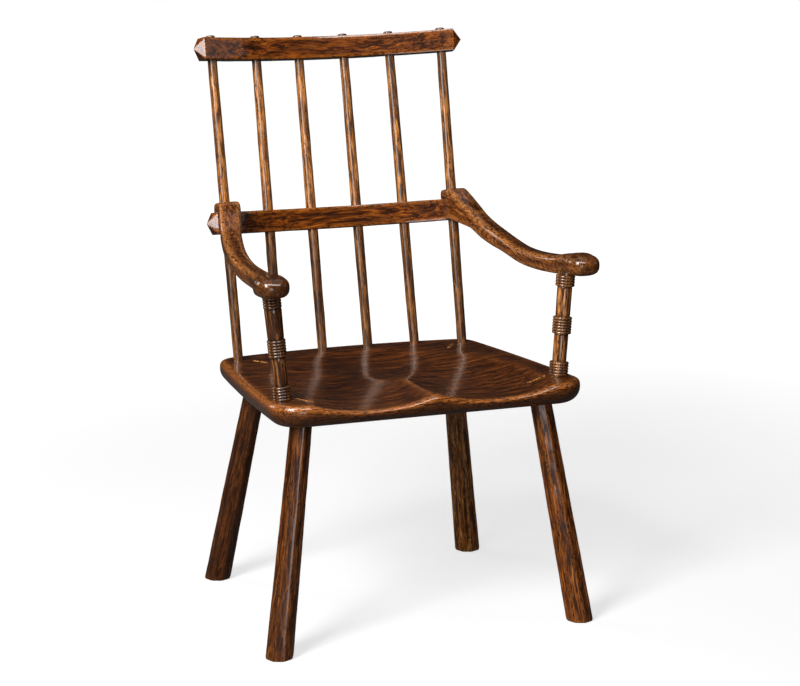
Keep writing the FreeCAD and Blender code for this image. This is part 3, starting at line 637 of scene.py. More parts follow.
def apply_tree(piece, group, values):
    """Run a tree on a piece and keep the result as its plain mesh."""
    modifier = piece.modifiers.new("Shape", "NODES")
    modifier.node_group = group
    for item in group.interface.items_tree:
        if item.in_out == "INPUT" and item.name in values:
            modifier[item.identifier] = values[item.name]
    make_plain(piece)


def make_plain(piece):
    """Keep what the modifiers give as the piece's own mesh."""
    graph = bpy.context.evaluated_depsgraph_get()
    graph.update()
    mesh = bpy.data.meshes.new_from_object(piece.evaluated_get(graph))
    piece.modifiers.clear()
    old = piece.data
    piece.data = mesh
    bpy.data.meshes.remove(old)
    mesh.name = piece.name
    if not len(mesh.polygons):
        raise RuntimeError(f"{piece.name} came out empty")


def new_piece(name, mesh):
    piece = bpy.data.objects.new(name, mesh)
    bpy.context.scene.collection.objects.link(piece)
    return piece


def line_mesh(name, points, values):
    """A mesh of single points in a row that carry values for a tree."""
    mesh = bpy.data.meshes.new(name)
    mesh.from_pydata([tuple(point) for point in points], [], [])
    for key, items in values.items():
        items = np.asarray(items, dtype=float)
        if items.ndim == 2:
            layer = mesh.attributes.new(key, "FLOAT_VECTOR", "POINT")
            layer.data.foreach_set("vector", items.ravel())
        else:
            layer = mesh.attributes.new(key, "FLOAT", "POINT")
            layer.data.foreach_set("value", items)
    return mesh


class Rings:
    """The rings of a swept bar, one after the other."""

    def __init__(self):
        self.points = []
        self.values = {}

    def add(
        self, centre, across, rise, half_width, half_height=None, power=2.0, eight=0.0, free=1.0
    ):
        """One ring: power 2 is round and more is squarer; free lets it wander."""
        self.points.append(centre)
        ring = {
            "across": across,
            "rise": rise,
            "half_width": half_width,
            "half_height": half_width if half_height is None else half_height,
            "power": power,
            "eight": eight,
            "free": free,
        }
        for key, value in ring.items():
            self.values.setdefault(key, []).append(value)

    def sweep(self, name, material, around, wander=0.0, scale=30.0, seed=0.0):
        piece = new_piece(name, line_mesh(name, self.points, self.values))
        values = {
            "Around": around,
            "Wander": wander,
            "Wander scale": scale,
            "Seed": seed,
            "Material": material,
        }
        apply_tree(piece, bar_tree(), values)
        turn_outwards(piece.data)
        return piece


def turn_outwards(mesh):
    """Point every face away from the inside."""
    work = bmesh.new()
    work.from_mesh(mesh)
    bmesh.ops.remove_doubles(work, verts=work.verts, dist=1e-6)
    bmesh.ops.recalc_face_normals(work, faces=work.faces)
    work.to_mesh(mesh)
    work.free()


def vertex_vectors(mesh):
    """Places and normals of the vertices."""
    places = np.empty(len(mesh.vertices) * 3)
    normals = np.empty(len(mesh.vertices) * 3)
    mesh.vertices.foreach_get("co", places)
    mesh.vertex_normals.foreach_get("vector", normals)
    return places.reshape(-1, 3), normals.reshape(-1, 3)


def store_look(mesh, name, values):
    """Keep one value for each vertex under a name that the oak reads."""
    layer = mesh.attributes.new(name, "FLOAT", "POINT")
    layer.data.foreach_set("value", values)


def note_edges(mesh, radius, passes):
    """Store how sharply the surface bends out (edge) and in (nook) at each vertex."""
    total = len(mesh.vertices)
    places, normals = vertex_vectors(mesh)
    pairs = np.empty(len(mesh.edges) * 2, dtype=np.int64)
    mesh.edges.foreach_get("vertices", pairs)
    first, second = pairs.reshape(-1, 2).T
    step = places[second] - places[first]
    span = np.maximum((step * step).sum(1), 1e-12)
    bend = ((normals[second] - normals[first]) * step).sum(1) / span * radius
    neighbours = np.maximum(np.bincount(pairs, minlength=total), 1)
    for name, sign in (("edge", 1.0), ("nook", -1.0)):
        value = np.zeros(total)
        np.maximum.at(value, first, sign * bend)
        np.maximum.at(value, second, sign * bend)
        value = np.clip(value, 0, 1)
        for _ in range(passes):
            spread = np.bincount(first, value[second], total)
            spread = spread + np.bincount(second, value[first], total)
            value = (value + spread / neighbours) / 2
        store_look(mesh, name, value)


def finish_piece(piece, nodes, slot, radius, passes, **looks):
    """Shade a piece, store its edges and looks and hand it to the frame.

    An edge is at its full value where it bends as round as the radius, and passes spread it.
    Each look is a rule that gives its value from the vertices' places and normals.
    """
    mesh = piece.data
    mesh.shade_smooth()
    mesh.set_sharp_from_angle(angle=SMOOTH_ANGLE)
    note_edges(mesh, radius, passes)
    for name, rule in looks.items():
        store_look(mesh, name, rule(*vertex_vectors(mesh)))
    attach(piece, "root")
    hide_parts(*nodes)


# Oak


# Noise drawn out along the grain: how far, then its scale, detail, roughness and distortion
BROAD_GRAIN = (0.10, 55.0, 5.0, 0.62, 0.4)
LINE_GRAIN = (0.07, 170.0, 5.0, 0.62, 0.6)
FINE_GRAIN = (0.05, 420.0, 4.0, 0.65)
PORE_GRAIN = (0.035, 1150.0, 2.0, 0.5)
SCRATCHES = (0.25, 360.0, 3.0, 0.7)
# How far the grain wanders from its straight line
GRAIN_DRIFT = 18 * MM
# How strongly the grain's lines, rings, arrows and streaks darken the wood, and dirt its pores
LINE_TONE = 0.85
RING_TONE = 0.75
ARROW_TONE = 0.85
STREAK_TONE = 0.85
PORE_TONE = 0.75
# Relief of the fine grain, of the slow swell, of pores and of dents, against RELIEF_DEPTH
GRAIN_RELIEF = 0.22
SWELL_RELIEF = 0.9
PORE_RELIEF = 0.18
DENT_RELIEF = 0.8
POLISHED_RELIEF = 0.25
RELIEF_DEPTH = 1.1 * MM
# The wood shines little under its wax coat
BARE_SHINE = 0.12
WAX_SOFTNESS = 0.07


def oak_group():
    """Colour, roughness and relief of old waxed oak, with its grain along Z."""
    existing = bpy.data.node_groups.get("Old oak")
    if existing:
        return existing
    group = bpy.data.node_groups.new("Old oak", "ShaderNodeTree")
    inputs = (
        ("Vector", "Vector", None),
        ("Dark", "Color", None),
        ("Brown", "Color", None),
        ("Amber", "Color", None),
        ("Pit", "Color", None),
        ("Light share", "Float", 0.5),
        ("Figure", "Float", 0.5),
        ("Worn", "Float", 0.5),
        ("Pitted", "Float", 0.5),
        ("Grain size", "Float", 1.0),
    )
    for name, kind, value in inputs:
        socket = group.interface.new_socket(name, in_out="INPUT", socket_type=f"NodeSocket{kind}")
        if value is not None:
            socket.default_value = value
    for name, kind in (("Color", "Color"), ("Roughness", "Float"), ("Normal", "Vector")):
        group.interface.new_socket(name, in_out="OUTPUT", socket_type=f"NodeSocket{kind}")
    tree = Tree(group)
    given = tree.add("NodeGroupInput").outputs
    place = tree.vector("SCALE", given["Vector"], given["Grain size"])
    warp = tree.noise(place, scale=9.0)
    centred = tree.vector("SUBTRACT", warp.outputs["Color"], (0.5, 0.5, 0.5))
    bent = tree.vector("ADD", place, tree.vector("SCALE", centred, GRAIN_DRIFT))

    def drawn(source, along, *texture):
        """Noise drawn out along the grain."""
        stretched = tree.vector("MULTIPLY", source, (1.0, 1.0, along))
        return tree.noise(stretched, *texture).outputs[0]

    def noted(name):
        """A look that finish_piece stored on the mesh."""
        return tree.add("ShaderNodeAttribute", attribute_name=name).outputs["Fac"]

    # Grain and growth rings
    broad = drawn(bent, *BROAD_GRAIN)
    lines = drawn(bent, *LINE_GRAIN)
    fine = drawn(bent, *FINE_GRAIN)
    rings = tree.add(
        "ShaderNodeTexWave",
        {
            "Vector": tree.vector("MULTIPLY", bent, (1.0, 1.0, 0.12)),
            "Scale": 26.0,
            "Distortion": 5.0,
            "Detail": 2.5,
            "Detail Scale": 1.6,
            "Detail Roughness": 0.6,
        },
        wave_type="BANDS",
        bands_direction="DIAGONAL",
    ).outputs["Fac"]
    patches = tree.noise(place, scale=13.0, detail=3.0, roughness=0.6).outputs[0]

    # Pores, pits and bruises, which long handling polishes away
    plain = tree.math("SUBTRACT", 1.0, noted("polish"))
    pores = tree.times(tree.span(drawn(bent, *PORE_GRAIN), 0.60, 0.72), plain)
    cell_place = tree.vector("MULTIPLY", place, (1.0, 1.0, 0.45))
    cells = tree.add(
        "ShaderNodeTexVoronoi", {"Vector": cell_place, "Scale": 120.0, "Randomness": 1.0}
    )
    chosen = tree.add("ShaderNodeSeparateXYZ", {"Vector": cells.outputs["Color"]})
    kept = tree.math("LESS_THAN", chosen.outputs["X"], tree.times(given["Pitted"], 0.3))
    pits = tree.times(tree.span(cells.outputs["Distance"], 0.26, 0.10), kept, plain)
    scratches = drawn(place, *SCRATCHES)
    bruises = tree.times(tree.span(scratches, 0.60, 0.68), tree.span(patches, 0.47, 0.60))
    bruises = tree.times(bruises, tree.times(given["Pitted"], plain))
    dents = tree.math("MAXIMUM", pits, bruises)

    # Colour of the grain
    wood = tree.blend(tree.span(broad, 0.30, 0.60, 0.45, 1.0), given["Dark"], given["Brown"])
    dark_lines = tree.times(tree.span(lines, 0.52, 0.42), LINE_TONE)
    wood = tree.blend(dark_lines, wood, given["Dark"])
    light = tree.times(tree.span(lines, 0.46, 0.66), tree.span(broad, 0.30, 0.60, 0.3, 1.0))
    light = tree.times(light, given["Light share"])
    light = tree.times(light, tree.math("ADD", 0.35, tree.span(fine, 0.40, 0.66)))
    wood = tree.blend(light, wood, given["Amber"])
    dark_rings = tree.times(tree.span(rings, 0.45, 0.95), given["Figure"], RING_TONE)
    wood = tree.blend(dark_rings, wood, given["Dark"])

    # Growth rings that cross the arms like arrow heads; the look counts them along the arm
    arrow = noted("arrow")
    wave = tree.math("PINGPONG", tree.math("ADD", arrow, tree.times(warp.outputs[0], 1.5)), 0.5)
    arrows = tree.times(tree.span(arrow, 0.5, 7.0), plain)
    arrows = tree.times(arrows, tree.span(patches, 0.36, 0.54, 0.35, 1.0))
    arrows = tree.times(arrows, tree.span(wave, 0.18, 0.42), ARROW_TONE)
    wood = tree.blend(arrows, wood, given["Dark"])
    streaks = tree.times(tree.span(fine, 0.50, 0.38), STREAK_TONE)
    wood = tree.blend(streaks, wood, given["Dark"])

    # Rubbed edges with wear and painted glint, painted shade, and dirt with painted shade in creases
    # Rubbed edges are wear, and on the leg wedges they are also a painted highlight round the rim
    wear_and_painted_glint = tree.times(noted("edge"), tree.span(scratches, 0.42, 0.56), given["Worn"])
    wood = tree.blend(wear_and_painted_glint, wood, given["Amber"])
    # The shade look is painted shade on undersides, rails, spindles and legs, and darkens the posts
    # and knobs
    wood = tree.blend(noted("shade"), wood, given["Dark"])
    # Pores, pits and dents are dirt; the nooks are darkened as dirt and painted shade in the creases
    dirt_and_crease_shade = tree.math("MAXIMUM", noted("nook"), tree.times(pores, PORE_TONE))
    dirt_and_crease_shade = tree.math("MAXIMUM", dirt_and_crease_shade, dents)
    wood = tree.blend(dirt_and_crease_shade, wood, given["Pit"])

    # Roughness and relief
    rough = tree.math("ADD", tree.span(fine, 0.3, 0.7, 0.26, 0.40), tree.times(dirt_and_crease_shade, 0.25))
    swell = tree.noise(place, scale=42.0).outputs[0]
    relief = tree.math("ADD", tree.times(fine, GRAIN_RELIEF), tree.times(swell, SWELL_RELIEF))
    relief = tree.math("SUBTRACT", relief, tree.times(pores, PORE_RELIEF))
    relief = tree.math("SUBTRACT", relief, tree.times(dents, DENT_RELIEF))
    relief = tree.times(relief, tree.math("MAXIMUM", plain, POLISHED_RELIEF))
    bump = tree.add(
        "ShaderNodeBump", {"Height": relief, "Strength": 0.55, "Distance": RELIEF_DEPTH}
    )
    tree.add("NodeGroupOutput", {"Color": wood, "Roughness": rough, "Normal": bump})
    return group


def oak(name, kind, grain, shift=(0.0, 0.0, 0.0), softness=WAX_SOFTNESS, **looks):
    """Old oak of one kind of piece, whose grain runs along the given direction."""
    wood = sizes("wood")
    material = bpy.data.materials.new(name)
    tree = empty_tree(material)
    place = tree.add("ShaderNodeTexCoord").outputs["Object"]
    facing = Vector(grain).rotation_difference(Vector((0, 0, 1))).to_euler()
    mapping = tree.add(
        "ShaderNodeMapping", {"Vector": place, "Rotation": facing, "Location": shift}
    )
    tones = {
        "Dark": tuple(wood.dark),
        "Brown": tuple(getattr(wood, kind)),
        "Amber": tuple(getattr(wood, f"{kind}_light")),
        "Pit": tuple(wood.pit),
    }
    group = tree.add("ShaderNodeGroup", node_tree=oak_group())
    tree.join(group, "Vector", mapping.outputs["Vector"])
    for key, value in tones.items():
        tree.join(group, key, (*value, 1.0))
    for key, value in looks.items():
        tree.join(group, key.replace("_", " ").capitalize(), value)
    shader = tree.add(
        "ShaderNodeBsdfPrincipled",
        {
            "Base Color": group.outputs["Color"],
            "Roughness": group.outputs["Roughness"],
            "Normal": group.outputs["Normal"],
            "Coat Weight": wood.gloss,
            "Coat Roughness": softness,
            "Specular IOR Level": BARE_SHINE,
        },
    )
    tree.add("ShaderNodeOutputMaterial", {"Surface": shader.outputs["BSDF"]})
    return material


# Seat


# Points on each part of the seat's plan, before they are spread evenly
EDGE_POINTS = 400
CORNER_POINTS = 200
SIDE_POINTS = 600
# Even points round the plan, and rings over its field and over each of its two edges
SEAT_AROUND = 420
FIELD_RINGS = 64
EDGE_RINGS = 15
# The top edge rolls no lower than this share of the under edge's rounding
LOWEST_ROLL = 0.35


def circle_meet(centre_a, radius_a, centre_b, radius_b):
    """The outer point (largest x) where two circles of the plan cross."""
    gap = centre_b - centre_a
    reach = np.linalg.norm(gap)
    along = (reach * reach + radius_a * radius_a - radius_b * radius_b) / (2 * reach)
    out = math.sqrt(radius_a * radius_a - along * along)
    middle = centre_a + gap * along / reach
    side = np.array((gap[1], -gap[0])) / reach
    found = (middle + side * out, middle - side * out)
    return max(found, key=lambda point: point[0])


def arc_points(centre, radius, start, end, steps):
    angles = np.linspace(start, end, steps, endpoint=False)
    return centre + radius * np.column_stack((np.cos(angles), np.sin(angles)))


def angle_of(point, centre):
    return math.atan2(point[1] - centre[1], point[0] - centre[0])


def seat_outline():
    """Even points round the seat's plan, and their outward directions."""
    seat = sizes("seat")
    front = seat.front_edge - sizes("posts").reach
    front_corner = np.array((seat.front_width / 2, -front))
    rear_corner = np.array((seat.back_width / 2, seat.depth - front))
    chord = rear_corner - front_corner
    half = np.linalg.norm(chord) / 2
    side_radius = (half * half + seat.side_bow ** 2) / (2 * seat.side_bow)
    outward = np.array((chord[1], -chord[0])) / (2 * half)
    side_centre = (front_corner + rear_corner) / 2 + outward * (seat.side_bow - side_radius)
    back_half = seat.back_width / 2
    back_radius = (back_half ** 2 + seat.back_bow ** 2) / (2 * seat.back_bow)
    back_centre = np.array((0.0, rear_corner[1] + seat.back_bow - back_radius))
    front_y = -front + seat.front_corner
    reach = side_radius - seat.front_corner
    front_x = side_centre[0] + math.sqrt(reach ** 2 - (front_y - side_centre[1]) ** 2)
    front_round = np.array((front_x, front_y))
    rear_round = circle_meet(
        side_centre, side_radius - seat.rear_corner, back_centre, back_radius - seat.rear_corner
    )
    front_turn = angle_of(front_round, side_centre)
    rear_turn = angle_of(rear_round, side_centre)
    back_turn = angle_of(rear_round, back_centre)
    half_path = [
        np.linspace((0, -front), (front_x, -front), EDGE_POINTS, endpoint=False),
        arc_points(front_round, seat.front_corner, -math.pi / 2, front_turn, CORNER_POINTS),
        arc_points(side_centre, side_radius, front_turn, rear_turn, SIDE_POINTS),
        arc_points(rear_round, seat.rear_corner, rear_turn, back_turn, CORNER_POINTS),
        arc_points(back_centre, back_radius, back_turn, math.pi / 2, EDGE_POINTS),
    ]
    left = np.vstack(half_path + [[(0.0, back_centre[1] + back_radius)]])
    right = left[-2:0:-1] * (-1, 1)
    path = np.vstack((left, right, left[:1]))
    steps = np.linalg.norm(np.diff(path, axis=0), axis=1)
    walked = np.concatenate(([0], np.cumsum(steps)))
    stops = np.linspace(0, walked[-1], SEAT_AROUND, endpoint=False)
    points = np.column_stack([np.interp(stops, walked, path[:, axis]) for axis in (0, 1)])
    ahead = np.roll(points, -1, axis=0) - np.roll(points, 1, axis=0)
    normals = np.column_stack((ahead[:, 1], -ahead[:, 0]))
    return points, normals / np.linalg.norm(normals, axis=1)[:, None]


def saddle_depth(x, y):
    """Depth of the hollowed top under the flat plank, in the plank's own axes."""
    seat = sizes("seat")
    front = seat.front_edge - sizes("posts").reach
    soft = seat.ridge_softness
    total = np.ones_like(x)
    forms = (
        ("dish", 0.0, 0.0),
        ("hollow", seat.hollow_spread, seat.hollow_tilt),
        ("hollow", -seat.hollow_spread, seat.hollow_tilt),
    )
    parts = ("inset", "across", "along", "curve", "depth")
    for form, centre_x, tilt in forms:
        inset, across, along, curve, depth = [getattr(seat, f"{form}_{part}") for part in parts]
        behind = y - inset + front
        far = ((x - centre_x) / across) ** 2 + (behind / along) ** 2
        sunk = curve * np.sqrt(np.clip(1 - far, 0, None)) - curve + depth
        sunk = sunk - math.tan(tilt) * behind
        total = total + np.exp(np.clip(sunk / soft, -40, 40))
    return soft * np.log(total)


def seat_point(x, y, z):
    """From the plank's own axes to the chair's."""
    along, up = seat_axes()
    parts = zip((x, y, z), (X_AXIS, along, up))
    return seat_origin() + sum(np.outer(np.ravel(part), axis) for part, axis in parts)


def seat_rings(middle):
    """Rings of the plank from its middle over its edges to its underside: plan and level."""
    seat = sizes("seat")
    outline, normals = seat_outline()
    thickness = seat.thickness
    under = seat.under_round
    rings = []

    def under_inset(height):
        """How far the under edge is cut in at a height above the underside."""
        left = np.clip(under - height, 0, under)
        return under - np.sqrt(under * under - left * left)

    rim = outline - normals * seat.top_round
    rim_depth = saddle_depth(rim[:, 0], rim[:, 1])
    # Field: from the middle out to the rim
    for share in np.linspace(0.02, 1, FIELD_RINGS):
        flat = mixed(middle, rim, share)
        rings.append((flat, -saddle_depth(flat[:, 0], flat[:, 1])))
    # Top edge: rolls from the rim into the side
    roll_foot = np.minimum(-rim_depth - seat.top_round, -seat.top_round)
    roll_foot = np.maximum(roll_foot, -thickness + under * LOWEST_ROLL)
    foot_inset = under_inset(roll_foot + thickness)
    left = np.clip(under - (roll_foot + thickness), 0, under)
    lean_out = left / np.sqrt(under * under - left * left)
    control_inset = foot_inset - lean_out * (-rim_depth - roll_foot)
    for share in np.linspace(0, 1, EDGE_RINGS)[1:]:
        start, control, end = (1 - share) ** 2, 2 * share * (1 - share), share ** 2
        inset = start * seat.top_round + control * control_inset + end * foot_inset
        level = -(start + control) * rim_depth + end * roll_foot
        rings.append((outline - normals * inset[:, None], level))
    # Side and under edge, with the rings closer together further down
    for share in np.linspace(0, 1, EDGE_RINGS)[1:]:
        height = (roll_foot + thickness) * (1 - share) ** 1.6
        inset = under_inset(height)
        rings.append((outline - normals * inset[:, None], height - thickness))
    bottom = outline - normals * under
    for share in (0.97, 0.85, 0.6, 0.3, 0.08):
        rings.append((mixed(middle, bottom, share), np.full(SEAT_AROUND, -thickness)))
    return rings


def make_seat():
    """The plank with rolled edges and a saddled top."""
    seat = sizes("seat")
    middle = np.array((0.0, seat.depth / 2 - seat.front_edge + sizes("posts").reach))
    rings = seat_rings(middle)
    points = [seat_point(flat[:, 0], flat[:, 1], level) for flat, level in rings]
    points.append(seat_point(*middle, -saddle_depth(*middle.reshape(2, 1))))
    points.append(seat_point(*middle, -seat.thickness))
    faces = []
    top_pole = len(rings) * SEAT_AROUND
    last = top_pole - SEAT_AROUND
    for step in range(SEAT_AROUND):
        following = (step + 1) % SEAT_AROUND
        faces.append((top_pole, step, following))
        faces.append((top_pole + 1, last + following, last + step))
        for ring in range(0, last, SEAT_AROUND):
            below = ring + SEAT_AROUND
            faces.append((ring + step, below + step, below + following, ring + following))
    mesh = bpy.data.meshes.new("seat_plank")
    mesh.from_pydata([tuple(point) for point in np.vstack(points)], [], faces)
    material = oak(
        "seat_oak",
        "seat",
        X_AXIS,
        shift=(0.1, 0.2, 0.3),
        Figure=0.5,
        Light_share=0.45,
        Worn=0.9,
        Pitted=0.3,
        softness=0.16,
    )
    mesh.materials.append(material)
    piece = new_piece("seat_plank", mesh)
    turn_outwards(mesh)

    def side_shade(places, normals):
        """Painted shade: the side of the plank is darker towards its under edge, where it faces down.
        """
        return 0.75 * ease(0.45, -0.25, normals[:, 2])

    finish_piece(piece, ("seat",), "seat_wood", radius=0.014, passes=3, shade=side_shade)


def seat_surface(x, y):
    """The point of the finished seat top over a place of the floor."""
    origin = seat_origin()
    along, up = seat_axes()
    local_y = (y - origin[1]) / along[1]
    for _ in range(4):
        depth = float(saddle_depth(np.array([x]), np.array([local_y]))[0])
        local_y = (y - origin[1] + depth * up[1]) / along[1]
    return seat_point(x, local_y, -depth)[0]


def surface_normal(x, y):
    """The direction in which the top of the seat faces at a place."""
    step = 4 * MM
    across = seat_surface(x + step, y) - seat_surface(x - step, y)
    along = seat_surface(x, y + step) - seat_surface(x, y - step)
    return unit(np.cross(across, along))


# Legs


# Each leg's kind of oak, and its shares of painted shade over the wood and of light grain
# Painted light and shade: legs are darker or lighter after how the lamps fall, and the rear left one
# takes post oak
LEG_PAINTED_LIGHT = {
    ("front", 1): ("leg", 0.0, 1.05),
    ("front", -1): ("leg", 0.45, 0.9),
    ("rear", 1): ("post", 0.0, 1.0),
    ("rear", -1): ("leg", 0.65, 0.7),
}
# Heights above the floor and how far the foot is worn back there, in millimetres
FOOT_WEAR = ((0.0, 3.2), (0.4, 2.2), (1.3, 1.1), (2.8, 0.4), (5.0, 0.0))
# Above its foot a leg has even rings, from this height to this share of the seat's height
LEG_RINGS = 70
LEG_RINGS_FROM = 12 * MM
LEG_RINGS_TO = 0.93
# Powers of the sections of a leg and of its wedge
LEG_POWER = 26.0
WEDGE_POWER = 30.0
# Depth of a leg's wedge, and how far it stands out of the seat
WEDGE_DEPTH = 24 * MM
WEDGE_STAND = 0.9 * MM
WEDGE_RINGS = 15


def leg_line(where):
    """Foot, socket on the seat's top and direction of a left leg."""
    legs = sizes("legs")
    side = -1 if where == "front" else 1
    foot_y = side * getattr(legs, f"{where}_foot_y")
    socket_y = side * getattr(legs, f"{where}_socket_y")
    foot = np.array((getattr(legs, f"{where}_foot_x"), foot_y, 0.0))
    socket = np.array((getattr(legs, f"{where}_socket_x"), socket_y, seat_level(socket_y)))
    return foot, socket, unit(socket - foot)


def level_axes(direction, quarter):
    """Two directions of a level section of a leaning bar."""
    turned = Vector((0, 0, 1)).rotation_difference(Vector(direction))
    axes = []
    for angle in (quarter, quarter + math.pi / 2):
        flat = np.array(turned @ Vector((math.cos(angle), math.sin(angle), 0)))
        axes.append(flat - direction * flat[2] / direction[2])
    return axes


def make_leg(where, side, seed):
    """One leg, from its worn foot to inside the seat."""
    kind, painted_shade, light_share = LEG_PAINTED_LIGHT[where, side]
    legs = sizes("legs")
    foot, socket, direction = leg_line(where)
    up = seat_axes()[1]
    under = seat_origin() - up * sizes("seat").thickness
    shoulder = np.dot(under - foot, up) / np.dot(direction, up)
    slope = (legs.top_width - legs.foot_width) / shoulder
    across, rise = level_axes(direction, math.pi / 8)
    mirror = np.array((side, 1, 1))
    rings = Rings()
    stops = [(height * MM, inset * MM) for height, inset in FOOT_WEAR]
    heights = np.linspace(LEG_RINGS_FROM, socket[2] * LEG_RINGS_TO, LEG_RINGS)
    stops += [(height, 0.0) for height in heights]
    for height, inset in stops:
        place = height / direction[2]
        rings.add(
            (foot + direction * place) * mirror,
            across * mirror,
            rise * mirror,
            (legs.foot_width + slope * place) / 2 - inset,
            power=LEG_POWER,
            eight=1.0,
            free=min(1.0, height / (20 * MM)),
        )
    name = f"{where}_{SIDES[side]}"
    material = oak(
        f"leg_oak_{name}",
        kind,
        direction * mirror,
        shift=(seed, seed * 2, seed * 0.7),
        Figure=0.45,
        Light_share=light_share,
        Worn=0.6,
        Pitted=0.9,
        Grain_size=1.35,
        softness=0.18,
    )
    piece = rings.sweep(
        f"leg_shaft_{name}", material, around=96, wander=1.6 * MM, scale=26.0, seed=seed
    )

    def leg_shade(places, normals):
        """Painted shade: each leg is darkened by its own share, after how the lamps fall on it."""
        return np.full(len(places), painted_shade)

    finish_piece(piece, (f"leg_{name}",), "leg_wood", radius=0.004, passes=1, shade=leg_shade)


def make_leg_wedge(where, side, material):
    """One wedge in a leg's tenon, which follows the saddled top of the seat."""
    legs = sizes("legs")
    socket = leg_line(where)[1] * np.array((side, 1, 1))
    angle = getattr(legs, f"{where}_turn")
    run = np.array((math.cos(angle) * side, math.sin(angle), 0.0))
    rings = Rings()
    for share in np.linspace(-0.5, 0.5, WEDGE_RINGS):
        x, y, _ = socket + run * legs.tenon * share
        up = surface_normal(x, y)
        across = unit(np.cross(up, run))
        centre = seat_surface(x, y) + up * (WEDGE_STAND - WEDGE_DEPTH / 2)
        rings.add(centre, across, up, legs.wedge / 2, WEDGE_DEPTH / 2, power=WEDGE_POWER)
    name = f"{where}_{SIDES[side]}"
    piece = rings.sweep(f"leg_wedge_block_{name}", material, around=48)
    finish_piece(piece, (f"leg_wedge_{name}",), "wedge_wood", radius=0.002, passes=0)


def make_legs():
    """All four legs, and the wedges that show in the seat."""
    # The wedges are rubbed pale all round their rims: wear, and a painted highlight on the rim
    material = oak(
        "wedge_oak", "post", X_AXIS, Figure=0.6, Light_share=0.15, Worn=1.0, Pitted=0.2
    )
    for index, where in enumerate(("front", "rear")):
        for side in SIDES:
            make_leg(where, side, 1.3 + index * 2.1 + side)
            make_leg_wedge(where, side, material)


# Spindles


STICK_NUMBERS = {
    ("outer", 1): 1,
    ("middle", 1): 2,
    ("inner", 1): 3,
    ("inner", -1): 4,
    ("middle", -1): 5,
    ("outer", -1): 6,
}
STICK_RINGS = 110
# Sticks aren't quite round
STICK_POWER = 2.25
# Distances under a spindle's end and how far its edge is worn back there, in millimetres
TIP_WEAR = ((1.4, 0.15), (0.8, 0.5), (0.35, 1.0), (0.0, 1.9))
# The wedge stands this far out of the end, is this much shorter than it is wide, and this deep
TIP_WEDGE_STAND = 0.4 * MM
TIP_WEDGE_INSET = 3.2 * MM
TIP_WEDGE_DEPTH = 12 * MM


def spindle_shade(places, normals):
    """Painted shade: spindles are darker below the middle rail and under the crest rail, and stay
    dark in and above it.
    """
    height = places[:, 2]
    middle = middle_origin()[2] + sizes("rails").middle_face / 2
    crest = crest_origin()[2] - sizes("rails").crest_face / 2
    low = 0.55 * ease(middle + 10 * MM, middle - 30 * MM, height)
    high = 0.70 * ease(crest - 40 * MM, crest + 10 * MM, height)
    return np.maximum(low, high)


def make_spindles():
    """Six hand-shaved spindles, and the wedges in their tips."""
    spindles = sizes("spindles")
    points = []
    ups = []
    for (stick, side), place in STICK_NUMBERS.items():
        foot, direction = spindle_line(stick)
        mirror = np.array((side, 1, 1))
        swell = np.linalg.norm(spindle_at(stick, middle_origin()) - foot)
        crest = np.linalg.norm(spindle_at(stick, crest_origin()) - foot)
        shoulder = crest - sizes("rails").crest_face / 2
        tip = crest + sizes("rails").crest_face / 2 + spindles.tip_stand - TIP_WEDGE_STAND
        across = unit(np.cross(Y_AXIS, direction))
        rise = np.cross(direction, across)
        knots = (-spindles.socket, 0.0, swell, shoulder, tip)
        widths = (
            spindles.foot_width,
            spindles.foot_width,
            spindles.middle_width,
            spindles.top_width,
            spindles.top_width,
        )
        stops = list(np.linspace(-spindles.socket, tip - 2 * MM, STICK_RINGS))
        insets = [0.0] * len(stops)
        for under, inset in TIP_WEAR:
            stops.append(tip - under * MM)
            insets.append(inset * MM)
        rings = Rings()
        for stop, inset in zip(stops, insets):
            rings.add(
                (foot + direction * stop) * mirror,
                across * mirror,
                rise * mirror,
                np.interp(stop, knots, widths) / 2 - inset,
                power=STICK_POWER,
                free=float(ease(tip, tip - 20 * MM, stop)),
            )
        material = oak(
            f"spindle_oak_{place}",
            "spindle",
            direction * mirror,
            shift=(place * 0.37, place * 0.21, place * 0.43),
            Figure=0.35,
            Light_share=1.0,
            Worn=0.2,
            Pitted=0.9,
            Grain_size=1.25,
            softness=0.30,
        )
        piece = rings.sweep(
            f"spindle_stick_{place}",
            material,
            around=40,
            wander=1.5 * MM,
            scale=22.0,
            seed=place * 1.7,
        )
        node = f"spindle_{place}"
        finish_piece(
            piece, (node,), "spindle_wood", radius=0.002, passes=1, shade=spindle_shade
        )
        points.append((foot + direction * (tip + TIP_WEDGE_STAND)) * mirror)
        ups.append(direction * mirror)
    spans = [rail_axes()[0]] * len(points)
    mesh = line_mesh("spindle_wedges", points, {"up": ups, "span": spans})
    piece = new_piece("spindle_wedges", mesh)
    material = oak(
        "tip_wedge_oak", "spindle", Z_AXIS, Figure=0.2, Light_share=1.0, Worn=1.0, Pitted=0.2
    )
    values = {
        "Length": spindles.top_width - TIP_WEDGE_INSET,
        "Thickness": spindles.wedge,
        "Depth": TIP_WEDGE_DEPTH,
        "Material": material,
    }
    apply_tree(piece, wedge_tree(), values)
    turn_outwards(piece.data)
    nodes = [f"spindle_wedge_{place}" for place in STICK_NUMBERS.values()]
    finish_piece(piece, nodes, "wedge_wood", radius=0.001, passes=0)


# Rails


RAIL_RINGS = 91
RAIL_POWER = 16.0
# Shares of a rail's point where it has rings, and how much it has shrunk at its end
POINT_STOPS = (0.05, 0.25, 0.5, 0.75, 1.0)
POINT_SHRINK = 0.985


